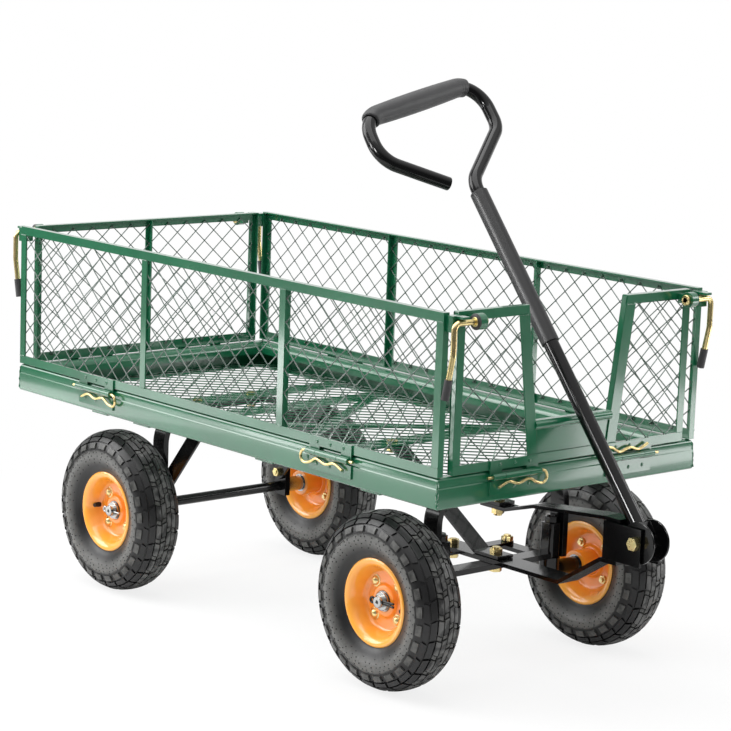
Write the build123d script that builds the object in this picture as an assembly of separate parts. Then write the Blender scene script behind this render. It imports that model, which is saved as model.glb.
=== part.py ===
from build123d import *
import math
import os

os.makedirs("parts", exist_ok=True)

# Driving sizes in millimetres: x runs forward from the middle of the bed, z up from the ground
tyre_diameter = 253
tyre_width = 76
bed_length = 1000
bed_width = 500
tyre_clearance = 33.5
rim_height = 43
panel_height = 220.5
front_overhang = 141
rear_overhang = 217
wheel_inset = 47
handle_lean = 39.3
handle_length = 562

# Sheet and bar sections
sheet = 2.5
ledge = 25
lip_height = 20
angle_sheet = 2
rail_face = 13
panel_depth = 10
bridge_width = 28
bridge_sheet = 10
axle_radius = 8
running_gap = 0.06
side_gap = 0.4
panel_gap = 1.5

# Levels and planes that follow from the sizes above
half_length = bed_length / 2
half_width = bed_width / 2
front_axle_x = half_length - front_overhang
rear_axle_x = rear_overhang - half_length
wheel_y = half_width - wheel_inset
bed_bottom = tyre_diameter + tyre_clearance
bed_top = bed_bottom + rim_height
panel_bottom = bed_top + panel_gap
panel_top = panel_bottom + panel_height
axle_z = tyre_diameter / 2
hinge_offset = 7
hinge_z = bed_top - 7
barrel_radius = 4.75
pin_radius = 2
end_half = half_width - 26
side_end = half_length - 1
latch_x = half_length + 18
latch_z = panel_top - 12
eye_radius = 11
clevis_x = half_length + 146
clevis_z = bed_bottom - 44
cheek_radius = 29
mid_x = ((clevis_x + cheek_radius) - (latch_x + eye_radius)) / 2


def box(x0, x1, y0, y1, z0, z1):
    middle = Pos((x0 + x1) / 2, (y0 + y1) / 2, (z0 + z1) / 2)
    return middle * Box(abs(x1 - x0), abs(y1 - y0), abs(z1 - z0))


def cyl_z(x, y, z0, z1, radius):
    return Pos(x, y, (z0 + z1) / 2) * Cylinder(radius, abs(z1 - z0))


def cyl_y(x, z, y0, y1, radius):
    return Pos(x, (y0 + y1) / 2, z) * Rot(90, 0, 0) * Cylinder(radius, abs(y1 - y0))


def cyl_x(y, z, x0, x1, radius):
    return Pos((x0 + x1) / 2, y, z) * Rot(0, 90, 0) * Cylinder(radius, abs(x1 - x0))


def hex_z(x, y, z0, z1, radius):
    prism = extrude(RegularPolygon(radius, 6), abs(z1 - z0) / 2, both=True)
    return Pos(x, y, (z0 + z1) / 2) * prism


def hex_y(x, z, y0, y1, radius):
    prism = extrude(RegularPolygon(radius, 6), abs(y1 - y0) / 2, both=True)
    return Pos(x, (y0 + y1) / 2, z) * Rot(90, 0, 0) * prism


def flip_y(shape):
    return mirror(shape, about=Plane.XZ)


def flip_x(shape):
    return mirror(shape, about=Plane.YZ)


def both_sides(shapes):
    return list(shapes) + [flip_y(s) for s in shapes]


def prism_x(points, x0, x1):
    # a closed outline of (y, z) corners pushed along x
    face = make_face(Polyline(*points, close=True))
    return Pos((x0 + x1) / 2, 0, 0) * extrude(Plane.YZ * face, abs(x1 - x0) / 2, both=True)


def prism_y(points, y0, y1):
    # a closed outline of (x, z) corners pushed along y
    face = make_face(Polyline(*points, close=True))
    return Pos(0, (y0 + y1) / 2, 0) * extrude(Plane.XZ * face, abs(y1 - y0) / 2, both=True)


def bent_bar(points, thickness, width):
    # a flat bar whose middle line follows (x, z) points, mitred at each bend
    upper = []
    lower = []
    last = len(points) - 1
    for i in range(len(points)):
        before = Vector(*points[max(i, 1)]) - Vector(*points[max(i, 1) - 1])
        after = Vector(*points[min(i, last - 1) + 1]) - Vector(*points[min(i, last - 1)])
        one = Vector(-before.Y, before.X).normalized()
        two = Vector(-after.Y, after.X).normalized()
        mean = (one + two).normalized()
        reach = thickness / 2 / mean.dot(one)
        upper.append((points[i][0] + mean.X * reach, points[i][1] + mean.Y * reach))
        lower.append((points[i][0] - mean.X * reach, points[i][1] - mean.Y * reach))
    return prism_y(upper + lower[::-1], -width / 2, width / 2)


def rounded_edges(points, radii):
    # straight runs joined by tangent arcs, one radius for each inner corner
    corners = [Vector(*p) for p in points]
    edges = []
    start = corners[0]
    for i, radius in enumerate(radii):
        corner = corners[i + 1]
        before = (corners[i] - corner).normalized()
        after = (corners[i + 2] - corner).normalized()
        half = math.radians(before.get_angle(after) / 2)
        into = corner + before * (radius / math.tan(half))
        out = corner + after * (radius / math.tan(half))
        middle = corner + (before + after).normalized() * (radius / math.sin(half) - radius)
        edges.append(Edge.make_line(start, into))
        edges.append(Edge.make_three_point_arc(into, middle, out))
        start = out
    edges.append(Edge.make_line(start, corners[-1]))
    return edges


def rounded_path(points, radii):
    return Wire(rounded_edges(points, radii))


def wire_rod(path, radius):
    start = Plane(origin=path.position_at(0), z_dir=path.tangent_at(0))
    return sweep(start * Circle(radius), path=path)


def diamond_holes(plane, u0, u1, v0, v1, pitch_u, pitch_v, border, strand, inside=None):
    # the outline of a diamond gap in every cell of a flat net
    across = max(1, round((u1 - u0 - 2 * border) / pitch_u))
    up = max(1, round((v1 - v0 - 2 * border) / pitch_v))
    step_u = (u1 - u0 - 2 * border) / across
    step_v = (v1 - v0 - 2 * border) / up
    shrink = 1 - strand / 2 * math.hypot(step_u / 2, step_v / 2) / (step_u * step_v / 4)
    half_u = step_u / 2 * shrink
    half_v = step_v / 2 * shrink
    centres = [(i + 0.5, j + 0.5) for i in range(across) for j in range(up)]
    centres += [(i, j) for i in range(1, across) for j in range(1, up)]
    holes = []
    for i, j in centres:
        u = u0 + border + i * step_u
        v = v0 + border + j * step_v
        tips = [(u + half_u, v), (u, v + half_v), (u - half_u, v), (u, v - half_v)]
        if inside is None or all(inside(*t) for t in tips):
            holes.append(Wire.make_polygon([plane.from_local_coords(Vector(*t)) for t in tips]))
    return holes


def net_plate(plane, outline, holes, depth):
    # one holed face given a thickness
    edge = Wire.make_polygon([plane.from_local_coords(Vector(*p)) for p in outline])
    return extrude(Face(edge, holes), depth / 2, both=True)


def save(node, shapes):
    solids = []
    for shape in shapes:
        solids += (Pos(-mid_x, 0, 0) * shape).solids()
    export_step(Compound(solids), "parts/" + node + ".step")


# Bed: a pressed channel rim in four mitred rails, its upper ledge turned down at the inside
outer = box(-half_length, half_length, -half_width, half_width, bed_bottom, bed_top)
hollow = box(
    -half_length + sheet, half_length - sheet, -half_width + sheet, half_width - sheet,
    bed_bottom + sheet, bed_top - sheet)
well = box(
    -half_length + ledge, half_length - ledge, -half_width + ledge, half_width - ledge,
    bed_bottom - 1, bed_top + 1)
lip_inset = ledge - sheet
lip = box(
    -half_length + lip_inset, half_length - lip_inset, -half_width + lip_inset, half_width - lip_inset,
    bed_top - lip_height, bed_top - sheet)
ring = outer - (hollow - lip) - well


def sector(points):
    face = make_face(Polyline(*points, close=True))
    return Pos(0, 0, bed_bottom - 5) * extrude(face, rim_height + 10)


reach = half_length - half_width
side_sector = sector([
    (-half_length - 9, -half_width - 9), (half_length + 9, -half_width - 9), (reach, 0), (-reach, 0)])
end_sector = sector([(half_length + 9, -half_width - 9), (half_length + 9, half_width + 9), (reach, 0)])
side_rail = ring & side_sector
end_rail = ring & end_sector
save("tray_rim", both_sides([side_rail]) + [end_rail, flip_x(end_rail)])

# Bed floor: expanded metal laid on the rim's lower ledge
floor_sheet = 3
floor_z = bed_bottom + sheet + floor_sheet / 2
floor_x = half_length - sheet - 1.5
floor_y = half_width - sheet - 1.5
floor_plane = Plane(origin=(0, 0, floor_z))
floor_holes = diamond_holes(
    floor_plane, -floor_x, floor_x, -floor_y, floor_y, 68, 46, 21, 6)
floor_outline = [(-floor_x, -floor_y), (floor_x, -floor_y), (floor_x, floor_y), (-floor_x, floor_y)]
save("tray_floor", [net_plate(floor_plane, floor_outline, floor_holes, floor_sheet)])

# Flat bars under the bed, four across and a diagonal cross between two of them
bar_sheet = 3
bar_width = 40
bar_bottom = bed_bottom - bar_sheet
stay_run = 233
brace_run = 109
stay_top_x = front_axle_x - stay_run
brace_top_x = rear_axle_x + brace_run
bar_reach = half_width - 6
bolt_radius = 4


def cross_bar(x, holes):
    bar = box(x - bar_width / 2, x + bar_width / 2, -bar_reach, bar_reach, bar_bottom, bed_bottom)
    for y in holes:
        bar = bar - cyl_z(x, y, bar_bottom - 1, bed_bottom + 1, bolt_radius + 0.1)
    return bar


bridge_bolt_y = 55
cross_bars = [
    cross_bar(front_axle_x, [-bridge_bolt_y, bridge_bolt_y]),
    cross_bar(stay_top_x, [0]),
    cross_bar(brace_top_x, []),
    cross_bar(rear_axle_x, [-bridge_bolt_y, bridge_bolt_y]),
]
cross_x0 = brace_top_x + bar_width / 2
cross_x1 = stay_top_x - bar_width / 2
cross_half = bar_reach - 30
cross_foot = 34
diagonal_points = [
    (cross_x0, -cross_half), (cross_x0, -cross_half + cross_foot),
    (cross_x1, cross_half), (cross_x1, cross_half - cross_foot)]
diagonal = Pos(0, 0, bar_bottom) * extrude(make_face(Polyline(*diagonal_points, close=True)), bar_sheet)
cut_diagonal = flip_y(diagonal) - diagonal
save("floor_braces", cross_bars + [diagonal, cut_diagonal])

# Hinges: a leaf on the bed, a leaf on the panel and a spring clip as the pin
leaf_half = 45
knuckle_half = 22.5
leaf_sheet = 2.5
bore_radius = pin_radius + running_gap + 0.02


def bed_leaf(s):
    # drawn for a hinge on the right-hand skirt, centred at x = s
    y0 = -half_width - leaf_sheet
    axis_y = -half_width - hinge_offset
    plate = box(s - leaf_half, s + leaf_half, y0, -half_width, hinge_z - 26, hinge_z - 7)
    neck = box(s - knuckle_half, s + knuckle_half, y0, -half_width, hinge_z - 8, hinge_z)
    web = box(s - knuckle_half, s + knuckle_half, axis_y, y0 + 1, hinge_z - 3, hinge_z)
    barrel = cyl_x(axis_y, hinge_z, s - knuckle_half, s + knuckle_half, barrel_radius)
    bore = cyl_x(axis_y, hinge_z, s - leaf_half - 1, s + leaf_half + 1, bore_radius)
    return plate + neck + web + barrel - bore


def panel_leaf(s):
    y0 = -half_width - leaf_sheet
    axis_y = -half_width - hinge_offset
    leaf = box(s - leaf_half, s + leaf_half, y0, -half_width, panel_bottom, panel_bottom + rail_face)
    for a, b in ((s - leaf_half, s - knuckle_half - 0.5), (s + knuckle_half + 0.5, s + leaf_half)):
        leaf = leaf + box(a, b, y0, -half_width - 0.5, hinge_z, panel_bottom + 1)
        leaf = leaf + box(a, b, axis_y, y0 + 1, hinge_z, hinge_z + 3)
        leaf = leaf + cyl_x(axis_y, hinge_z, a, b, barrel_radius)
    return leaf - cyl_x(axis_y, hinge_z, s - leaf_half - 1, s + leaf_half + 1, bore_radius)


def hinge_clip(s, way, hang):
    # round wire: a straight pin, a round turn and a wavy leg beside it
    axis_y = -half_width - hinge_offset

    def spot(h, v):
        return Vector(s + way * h, axis_y, hinge_z + hang * v)

    pin = Edge.make_line(spot(-46, 0), spot(49, 0))
    turn = Edge.make_three_point_arc(spot(49, 0), spot(58, -9), spot(49, -18))
    wave = Edge.make_spline(
        [spot(49, -18), spot(24, -8.5), spot(4, -13), spot(-14, -8.5), spot(-32, -15)],
        tangents=[spot(0, 0) - spot(1, 0), spot(-1, -0.5) - spot(0, 0)])
    return wire_rod(Wire([pin, turn, wave]), pin_radius)


def to_front(shape):
    # a piece drawn on the right-hand skirt, carried round to the front skirt
    return Pos(half_length - half_width, 0, 0) * Rot(0, 0, 90) * shape


def to_rear(shape):
    return Pos(half_width - half_length, 0, 0) * Rot(0, 0, -90) * shape


side_hinge_x = 282
end_hinge_y = 112
side_leaves = [bed_leaf(-side_hinge_x), bed_leaf(side_hinge_x)]
end_leaves = [bed_leaf(-end_hinge_y), bed_leaf(end_hinge_y)]
save("tray_hinge_leaves", both_sides(side_leaves)
     + [to_front(s) for s in end_leaves] + [to_rear(s) for s in end_leaves])
side_clips = [hinge_clip(-side_hinge_x, 1, 1), hinge_clip(side_hinge_x, -1, 1)]
front_clips = [to_front(hinge_clip(-end_hinge_y, 1, 1)), to_front(hinge_clip(end_hinge_y, -1, -1))]
rear_clips = [to_rear(hinge_clip(-end_hinge_y, 1, 1)), to_rear(hinge_clip(end_hinge_y, -1, 1))]
save("hinge_clips", both_sides(side_clips) + front_clips + rear_clips)

# Side panels: an angle-iron frame with two uprights, drawn for the right-hand side
face_in = -half_width + angle_sheet
depth_in = -half_width + panel_depth
rail_low = panel_bottom + rail_face
rail_high = panel_top - rail_face
leg_low = panel_bottom + angle_sheet
leg_high = panel_top - angle_sheet
upright_x = bed_length * 0.165


def long_rail(z_face0, z_face1, z_leg0, z_leg1):
    face = box(-side_end, side_end, -half_width, face_in, z_face0, z_face1)
    return face + box(-side_end, side_end, -half_width, depth_in, z_leg0, z_leg1)


def side_post(x0, x1, leg0, leg1):
    face = box(x0, x1, -half_width, face_in, rail_low, rail_high)
    return face + box(leg0, leg1, face_in, depth_in, leg_low, leg_high)


end_post = side_post(side_end - rail_face, side_end, side_end - angle_sheet, side_end)
upright_edge = upright_x + rail_face / 2
upright = side_post(upright_x - rail_face / 2, upright_edge, upright_edge - angle_sheet, upright_edge)
side_frame = [
    long_rail(rail_high, panel_top, leg_high, panel_top),
    long_rail(panel_bottom, rail_low, panel_bottom, leg_low),
    end_post, flip_x(end_post), upright, flip_x(upright)]
save("right_panel_frame", side_frame)
save("left_panel_frame", [flip_y(s) for s in side_frame])

# Diamond mesh behind the faces of the frames, one net in each bay
mesh_u = 38
mesh_v = 34
mesh_strand = 2.6
mesh_sheet = 2
mesh_border = 9
side_plane = Plane(origin=(0, face_in + mesh_sheet / 2, 0), x_dir=(1, 0, 0), z_dir=(0, -1, 0))


def rect(u0, u1, v0, v1):
    return [(u0, v0), (u1, v0), (u1, v1), (u0, v1)]


def bay(plane, u0, u1):
    holes = diamond_holes(
        plane, u0, u1, leg_low, leg_high, mesh_u, mesh_v, mesh_border, mesh_strand)
    return net_plate(plane, rect(u0, u1, leg_low, leg_high), holes, mesh_sheet)


outer_bay = bay(side_plane, upright_edge, side_end - angle_sheet)
middle_bay = bay(side_plane, -upright_edge + angle_sheet, upright_edge - angle_sheet)
side_mesh = [outer_bay, middle_bay, flip_x(outer_bay)]
save("right_panel_mesh", side_mesh)
save("left_panel_mesh", [flip_y(s) for s in side_mesh])

# Latch hooks on the ends of the side panels, open below and outward
hook_root_y = -half_width + 4
hook_y0 = -half_width + 10
hook_y1 = -half_width + 22
rod_radius = 4
hook_gap = 1.6
hook_back = latch_x - rod_radius - hook_gap
hook_under = latch_z + rod_radius + hook_gap
hook = box(side_end, hook_back, hook_root_y, hook_y1, latch_z - 13, panel_top - angle_sheet - 1)
hook = hook + box(side_end, latch_x + 8, hook_y0, hook_y1, hook_under, panel_top - angle_sheet - 1)
side_fittings = [panel_leaf(-side_hinge_x), panel_leaf(side_hinge_x), hook, flip_x(hook)]
save("right_panel_fittings", side_fittings)
save("left_panel_fittings", [flip_y(s) for s in side_fittings])

# Rear panel: the same angle-iron frame with one upright in the middle
back_face = -half_length + angle_sheet
back_depth = -half_length + panel_depth


def cross_rail(y0, y1, z_face0, z_face1, z_leg0, z_leg1):
    face = box(-half_length, back_face, y0, y1, z_face0, z_face1)
    return face + box(-half_length, back_depth, y0, y1, z_leg0, z_leg1)


def end_panel_post(y0, y1, leg0, leg1):
    face = box(-half_length, back_face, y0, y1, rail_low, rail_high)
    return face + box(back_face, back_depth, leg0, leg1, leg_low, leg_high)


rear_post = end_panel_post(-end_half, -end_half + rail_face, -end_half, -end_half + angle_sheet)
rear_upright = end_panel_post(-rail_face / 2, rail_face / 2, -angle_sheet / 2, angle_sheet / 2)
rear_frame = [
    cross_rail(-end_half, end_half, rail_high, panel_top, leg_high, panel_top),
    cross_rail(-end_half, end_half, panel_bottom, rail_low, panel_bottom, leg_low),
    rear_post, flip_y(rear_post), rear_upright]
save("rear_panel_frame", rear_frame)
rear_plane = Plane(origin=(back_face + mesh_sheet / 2, 0, 0), x_dir=(0, 1, 0), z_dir=(1, 0, 0))
rear_bay = bay(rear_plane, -end_half + angle_sheet, -angle_sheet / 2)
save("rear_panel_mesh", both_sides([rear_bay]))

# Ring eyes on the end panels, in which the latch rods turn
eye_y0 = -half_width + 40
eye_y1 = -half_width + 52


def ring_eye():
    foot = box(half_length, latch_x, eye_y0, eye_y1, latch_z - 6, latch_z + 7)
    eye = foot + cyl_y(latch_x, latch_z, eye_y0, eye_y1, eye_radius)
    return eye - cyl_y(latch_x, latch_z, eye_y0 - 1, eye_y1 + 1, rod_radius + running_gap + 0.02)


front_eyes = both_sides([ring_eye()])
rear_panel_leaves = [to_rear(panel_leaf(-end_hinge_y)), to_rear(panel_leaf(end_hinge_y))]
save("rear_panel_fittings", rear_panel_leaves + [flip_x(s) for s in front_eyes])

# Front panel: two wings beside a slanted notch for the handle, a solid plate below it
notch_low = 65
notch_high = 95
post_face = 19
front_face = half_length - angle_sheet
front_depth = half_length - panel_depth
sill_rise = 59.6
sill_top = panel_bottom + sill_rise
sill_low = sill_top - rail_face


def notch(z):
    return notch_low + (notch_high - notch_low) * (z - panel_bottom) / panel_height


def front_bar(points):
    return prism_x(points, front_face, half_length)


def front_leg(points):
    return prism_x(points, front_depth, front_face)


slant = front_bar([
    (notch(rail_low), rail_low), (notch(rail_low) + post_face, rail_low),
    (notch(rail_high) + post_face, rail_high), (notch(rail_high), rail_high)])
slant = slant + front_leg([
    (notch(leg_low), leg_low), (notch(leg_low) + angle_sheet, leg_low),
    (notch(leg_high) + angle_sheet, leg_high), (notch(leg_high), leg_high)])
wing_rail = front_bar([
    (notch(rail_high), rail_high), (end_half, rail_high),
    (end_half, panel_top), (notch(panel_top), panel_top)])
wing_rail = wing_rail + front_leg([
    (notch(leg_high), leg_high), (end_half, leg_high),
    (end_half, panel_top), (notch(panel_top), panel_top)])
front_low = flip_x(cross_rail(-end_half, end_half, panel_bottom, rail_low, panel_bottom, leg_low))
front_post = flip_x(flip_y(rear_post))
save("front_panel_frame", both_sides([slant, wing_rail, front_post]) + [front_low])


def between(z0, z1):
    return [(-notch(z0), z0), (notch(z0), z0), (notch(z1), z1), (-notch(z1), z1)]


plate = prism_x(between(leg_low, sill_top - angle_sheet), front_face - angle_sheet, front_face)
sill = front_bar(between(sill_low, sill_top)) + front_leg(between(sill_top - angle_sheet, sill_top))
save("front_plate", [plate, sill])
front_plane = Plane(origin=(front_face - mesh_sheet / 2, 0, 0), x_dir=(0, 1, 0), z_dir=(1, 0, 0))


def in_wing(u, v):
    return notch(v) + angle_sheet + 4 < u


wing_u0 = notch(leg_low) + angle_sheet
wing_u1 = end_half - angle_sheet
wing_holes = diamond_holes(
    front_plane, wing_u0, wing_u1, leg_low, leg_high, mesh_u, mesh_v, mesh_border, mesh_strand, in_wing)
wing_outline = [
    (wing_u0, leg_low), (wing_u1, leg_low), (wing_u1, leg_high), (notch(leg_high) + angle_sheet, leg_high)]
wing_net = net_plate(front_plane, wing_outline, wing_holes, mesh_sheet)
save("front_panel_mesh", both_sides([wing_net]))
front_panel_leaves = [to_front(panel_leaf(-end_hinge_y)), to_front(panel_leaf(end_hinge_y))]
save("front_panel_fittings", front_panel_leaves + front_eyes)

# Latches: a headed rod that turns in the eyes and ends in a hanging lever with a soft tip
lever_y = -half_width + 2
lever_end = latch_z - 100
lever_foot_x = latch_x - 12
latch_path = rounded_path(
    [(latch_x, eye_y1 + 0.3, latch_z), (latch_x, lever_y, latch_z), (latch_x, lever_y, latch_z - 42),
     (lever_foot_x, lever_y, lever_end)],
    [9, 25])
latch_rod = wire_rod(latch_path, rod_radius)
latch_rod = latch_rod + cyl_y(latch_x, latch_z, eye_y1 + 0.3, eye_y1 + 4.5, 7.5)
latch_rod = latch_rod + cyl_y(latch_x, latch_z, eye_y0 - 3.3, eye_y0 - 0.3, 6.5)
tip_length = 26
tip_end = 2.5
tip_place = Location(Plane(origin=latch_path.position_at(1), z_dir=latch_path.tangent_at(1)))
latch_tip = Pos(0, 0, (tip_end - tip_length) / 2) * Cylinder(5.5, tip_length + tip_end)
latch_tip = latch_tip - Pos(0, 0, -tip_length) * Cylinder(rod_radius + 0.04, 2 * tip_length)
latch_tip = tip_place * latch_tip
save("latch_rod_front_right", [latch_rod])
save("latch_tip_front_right", [latch_tip])
save("latch_rod_front_left", [flip_y(latch_rod)])
save("latch_tip_front_left", [flip_y(latch_tip)])
save("latch_rod_rear_right", [flip_x(latch_rod)])
save("latch_tip_rear_right", [flip_x(latch_tip)])
save("latch_rod_rear_left", [flip_x(flip_y(latch_rod))])
save("latch_tip_rear_left", [flip_x(flip_y(latch_tip))])

# Axle bridges: flat bar bent to an upside-down U and bolted under the bed
leg_y = 125
leg_inner = leg_y - bridge_sheet / 2
leg_outer = leg_y + bridge_sheet / 2
bridge_top = bar_bottom
bend_radius = 50


def bridge(x, foot_z):
    points = [
        (-leg_outer, foot_z), (-leg_outer, bridge_top), (leg_outer, bridge_top), (leg_outer, foot_z),
        (leg_inner, foot_z), (leg_inner, bridge_top - bridge_sheet),
        (-leg_inner, bridge_top - bridge_sheet), (-leg_inner, foot_z)]
    face = make_face(Polyline(*points, close=True))
    rows = face.vertices().group_by(Axis.Y)
    face = fillet(rows[-1], bend_radius + bridge_sheet)
    rows = face.vertices().filter_by(lambda v: abs(abs(v.X) - leg_inner) < 0.01)
    face = fillet(rows.group_by(Axis.Y)[-1], bend_radius)
    bar = Pos(x, 0, 0) * extrude(Plane.YZ * face, bridge_width / 2, both=True)
    for y in (-bridge_bolt_y, bridge_bolt_y):
        bar = bar - cyl_z(x, y, bridge_top - bridge_sheet - 1, bridge_top + 1, bolt_radius + 0.1)
    return bar


brace_low_x = rear_axle_x + 1
brace_low_z = axle_z + 24
rear_foot = axle_z - 15
rear_bridge = bridge(rear_axle_x, rear_foot)
rear_bridge = rear_bridge - cyl_y(rear_axle_x, axle_z, -leg_outer - 1, leg_outer + 1, axle_radius + 0.05)
rear_bridge = rear_bridge - cyl_y(brace_low_x, brace_low_z, -leg_outer - 1, leg_outer + 1, bolt_radius + 0.1)
save("rear_bridge", [rear_bridge])

# Rear axle: one round bar through both legs, with spacers, washers and split pins
hub_inner = 41
hub_outer = 10
hub_in = wheel_y - hub_inner
hub_out = wheel_y + hub_outer
axle_end = hub_out + 11
pin_y = hub_out + 7
split_pin_radius = 1.8


def split_pin(x):
    pin = cyl_x(pin_y, axle_z, x - axle_radius - 4, x + axle_radius + 16, split_pin_radius)
    eye = Pos(x - axle_radius - 6, pin_y, axle_z) * Rot(90, 0, 0) * Torus(3.6, split_pin_radius)
    return pin + eye


def pin_hole(x):
    return cyl_x(pin_y, axle_z, x - axle_radius - 2, x + axle_radius + 2, split_pin_radius + 0.05)


def axle_washer(x, y0, y1, radius):
    washer = cyl_y(x, axle_z, y0, y1, radius)
    return washer - cyl_y(x, axle_z, y0 - 1, y1 + 1, axle_radius + 0.05)


rear_axle = cyl_y(rear_axle_x, axle_z, -axle_end, axle_end, axle_radius)
rear_hole = pin_hole(rear_axle_x)
save("rear_axle", [rear_axle - rear_hole - flip_y(rear_hole)])
rear_hardware = [
    axle_washer(rear_axle_x, leg_outer, hub_in - side_gap, 12),
    axle_washer(rear_axle_x, hub_out + side_gap, hub_out + 3.4, 13),
    split_pin(rear_axle_x)]
save("rear_axle_pins", both_sides(rear_hardware))

# Rear braces: flat bars from the legs up to the bed
brace_sheet = 5
brace_half = 12.5
brace_angle = math.atan2(bar_bottom - brace_low_z, brace_top_x - brace_low_x)
brace_dx = math.sin(brace_angle) * brace_half
brace_dz = math.cos(brace_angle) * brace_half
over = 60
brace_far_x = brace_top_x + math.cos(brace_angle) * over
brace_far_z = bar_bottom + math.sin(brace_angle) * over
brace = prism_y([
    (brace_low_x - brace_dx, brace_low_z + brace_dz), (brace_low_x + brace_dx, brace_low_z - brace_dz),
    (brace_far_x + brace_dx, brace_far_z - brace_dz), (brace_far_x - brace_dx, brace_far_z + brace_dz)],
    -leg_inner, -leg_inner + brace_sheet)
brace = brace + cyl_y(brace_low_x, brace_low_z, -leg_inner, -leg_inner + brace_sheet, brace_half)
brace = brace - box(
    brace_low_x - over, brace_far_x + over, -half_width, half_width, bar_bottom, brace_far_z + over)
brace = brace - cyl_y(brace_low_x, brace_low_z, -half_width, half_width, bolt_radius + 0.1)
save("rear_braces", both_sides([brace]))

# Front bridge with a beam and two kingpin housings between its legs
king_y = leg_inner - 11
housing_half_x = 12
housing_bottom = axle_z + 20
housing_top = housing_bottom + 51
king_radius = 7
beam_sheet = 8
beam_top = housing_bottom + beam_sheet
pivot_radius = 6
save("front_bridge", [bridge(front_axle_x, housing_bottom)])
king_inner = 2 * king_y - leg_inner
housing = box(
    front_axle_x - housing_half_x, front_axle_x + housing_half_x, king_inner, leg_inner,
    housing_bottom, housing_top)
housing = fillet(housing.edges().filter_by(Axis.Z), 5)
housing = housing - cyl_z(
    front_axle_x, king_y, housing_bottom - 1, housing_top + 1, king_radius + running_gap)
save("kingpin_housings", both_sides([housing]))
beam = box(
    front_axle_x - bridge_width / 2, front_axle_x + bridge_width / 2, -king_inner, king_inner,
    housing_bottom, beam_top)
pivot_bore = cyl_z(front_axle_x, 0, axle_z, bed_bottom - 8, pivot_radius + running_gap)
save("front_beam", [beam - pivot_bore])

# Tongue: a lower and an upper flat bar that turn together on the two pivot bolts
lower_sheet = 6
lower_z = beam_top + side_gap + lower_sheet / 2
lower_top = lower_z + lower_sheet / 2
tie_arm = 90
tie_x = front_axle_x - tie_arm
upper_sheet = 5
upper_z = bed_bottom - 50
clevis_back = clevis_x - 60
clevis_low = clevis_z - 32
clevis_high = clevis_z + 20
lean = math.radians(handle_lean)
shaft_radius = 11
upper_end_z = clevis_high + upper_sheet
stop_x = clevis_x - (upper_end_z - clevis_z) * math.tan(lean) - shaft_radius / math.cos(lean) - 0.3
lower_bar = bent_bar(
    [(tie_x - 20, lower_z), (half_length + 3, lower_z), (clevis_back - 4, clevis_low - lower_sheet / 2),
     (clevis_back + 26, clevis_low - lower_sheet / 2)],
    lower_sheet, 40)
tail_hole = cyl_z(tie_x, 0, housing_bottom, lower_top + 5, 5.05)
lower_bar = lower_bar - pivot_bore - tail_hole
upper_bar = bent_bar(
    [(front_axle_x - 22, upper_z), (front_axle_x + 28, upper_z), (front_axle_x + 84, upper_z + 16),
     (clevis_back - 4, clevis_high + upper_sheet / 2), (stop_x, clevis_high + upper_sheet / 2)],
    upper_sheet, 30)
save("tongue_bars", [lower_bar, upper_bar - pivot_bore])

# Front brace: a bent flat bar from the lower pivot back and up to the bed
stay_sheet = 5
stay_low = lower_top + side_gap + stay_sheet / 2
stay_high = bar_bottom - stay_sheet / 2
stay = bent_bar(
    [(front_axle_x + 20, stay_low), (front_axle_x - 30, stay_low), (stay_top_x + 18, stay_high),
     (stay_top_x - 20, stay_high)],
    stay_sheet, 30)
stay = stay - pivot_bore - cyl_z(stay_top_x, 0, bar_bottom - 20, bed_bottom + 9, bolt_radius + 0.1)
save("front_brace", [stay])

# Upper pivot bracket: a C of flat bar hung under the front bridge
bracket_sheet = 5
bracket_low = upper_z + upper_sheet / 2 + side_gap
bracket_high = bridge_top - bridge_sheet
bracket_back = front_axle_x - 43
bracket_front = front_axle_x + 18
bracket_half = 15
bracket_web = bracket_back + bracket_sheet
bracket = prism_y([
    (bracket_back, bracket_low), (bracket_front, bracket_low),
    (bracket_front, bracket_low + bracket_sheet), (bracket_web, bracket_low + bracket_sheet),
    (bracket_web, bracket_high - bracket_sheet), (bracket_front, bracket_high - bracket_sheet),
    (bracket_front, bracket_high), (bracket_back, bracket_high)],
    -bracket_half, bracket_half)
save("upper_pivot_bracket", [bracket - pivot_bore])

# Chassis bolts: the two pivots, the bridge and brace bolts
stay_top = stay_low + stay_sheet / 2
pivot_nut_radius = 9.5
lower_pivot = cyl_z(front_axle_x, 0, housing_bottom - 7, stay_top + 9, pivot_radius)
lower_pivot = lower_pivot + hex_z(front_axle_x, 0, housing_bottom - 7, housing_bottom, pivot_nut_radius)
lower_pivot = lower_pivot + hex_z(front_axle_x, 0, stay_top, stay_top + 6.5, pivot_nut_radius)
bracket_top = bracket_low + bracket_sheet
upper_low = upper_z - upper_sheet / 2 - side_gap
upper_pivot = cyl_z(front_axle_x, 0, upper_low - 12, bracket_top + 7, pivot_radius)
upper_pivot = upper_pivot + hex_z(front_axle_x, 0, bracket_top, bracket_top + 7, pivot_nut_radius)
upper_pivot = upper_pivot + hex_z(front_axle_x, 0, upper_low - 9, upper_low, pivot_nut_radius)


def carriage_bolt(x, y, under):
    bolt = cyl_z(x, y, under - 8, bed_bottom, bolt_radius)
    bolt = bolt + cyl_z(x, y, bed_bottom, bed_bottom + 2.2, 9)
    return bolt + hex_z(x, y, under - 6.5, under, 7.5)


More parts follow.
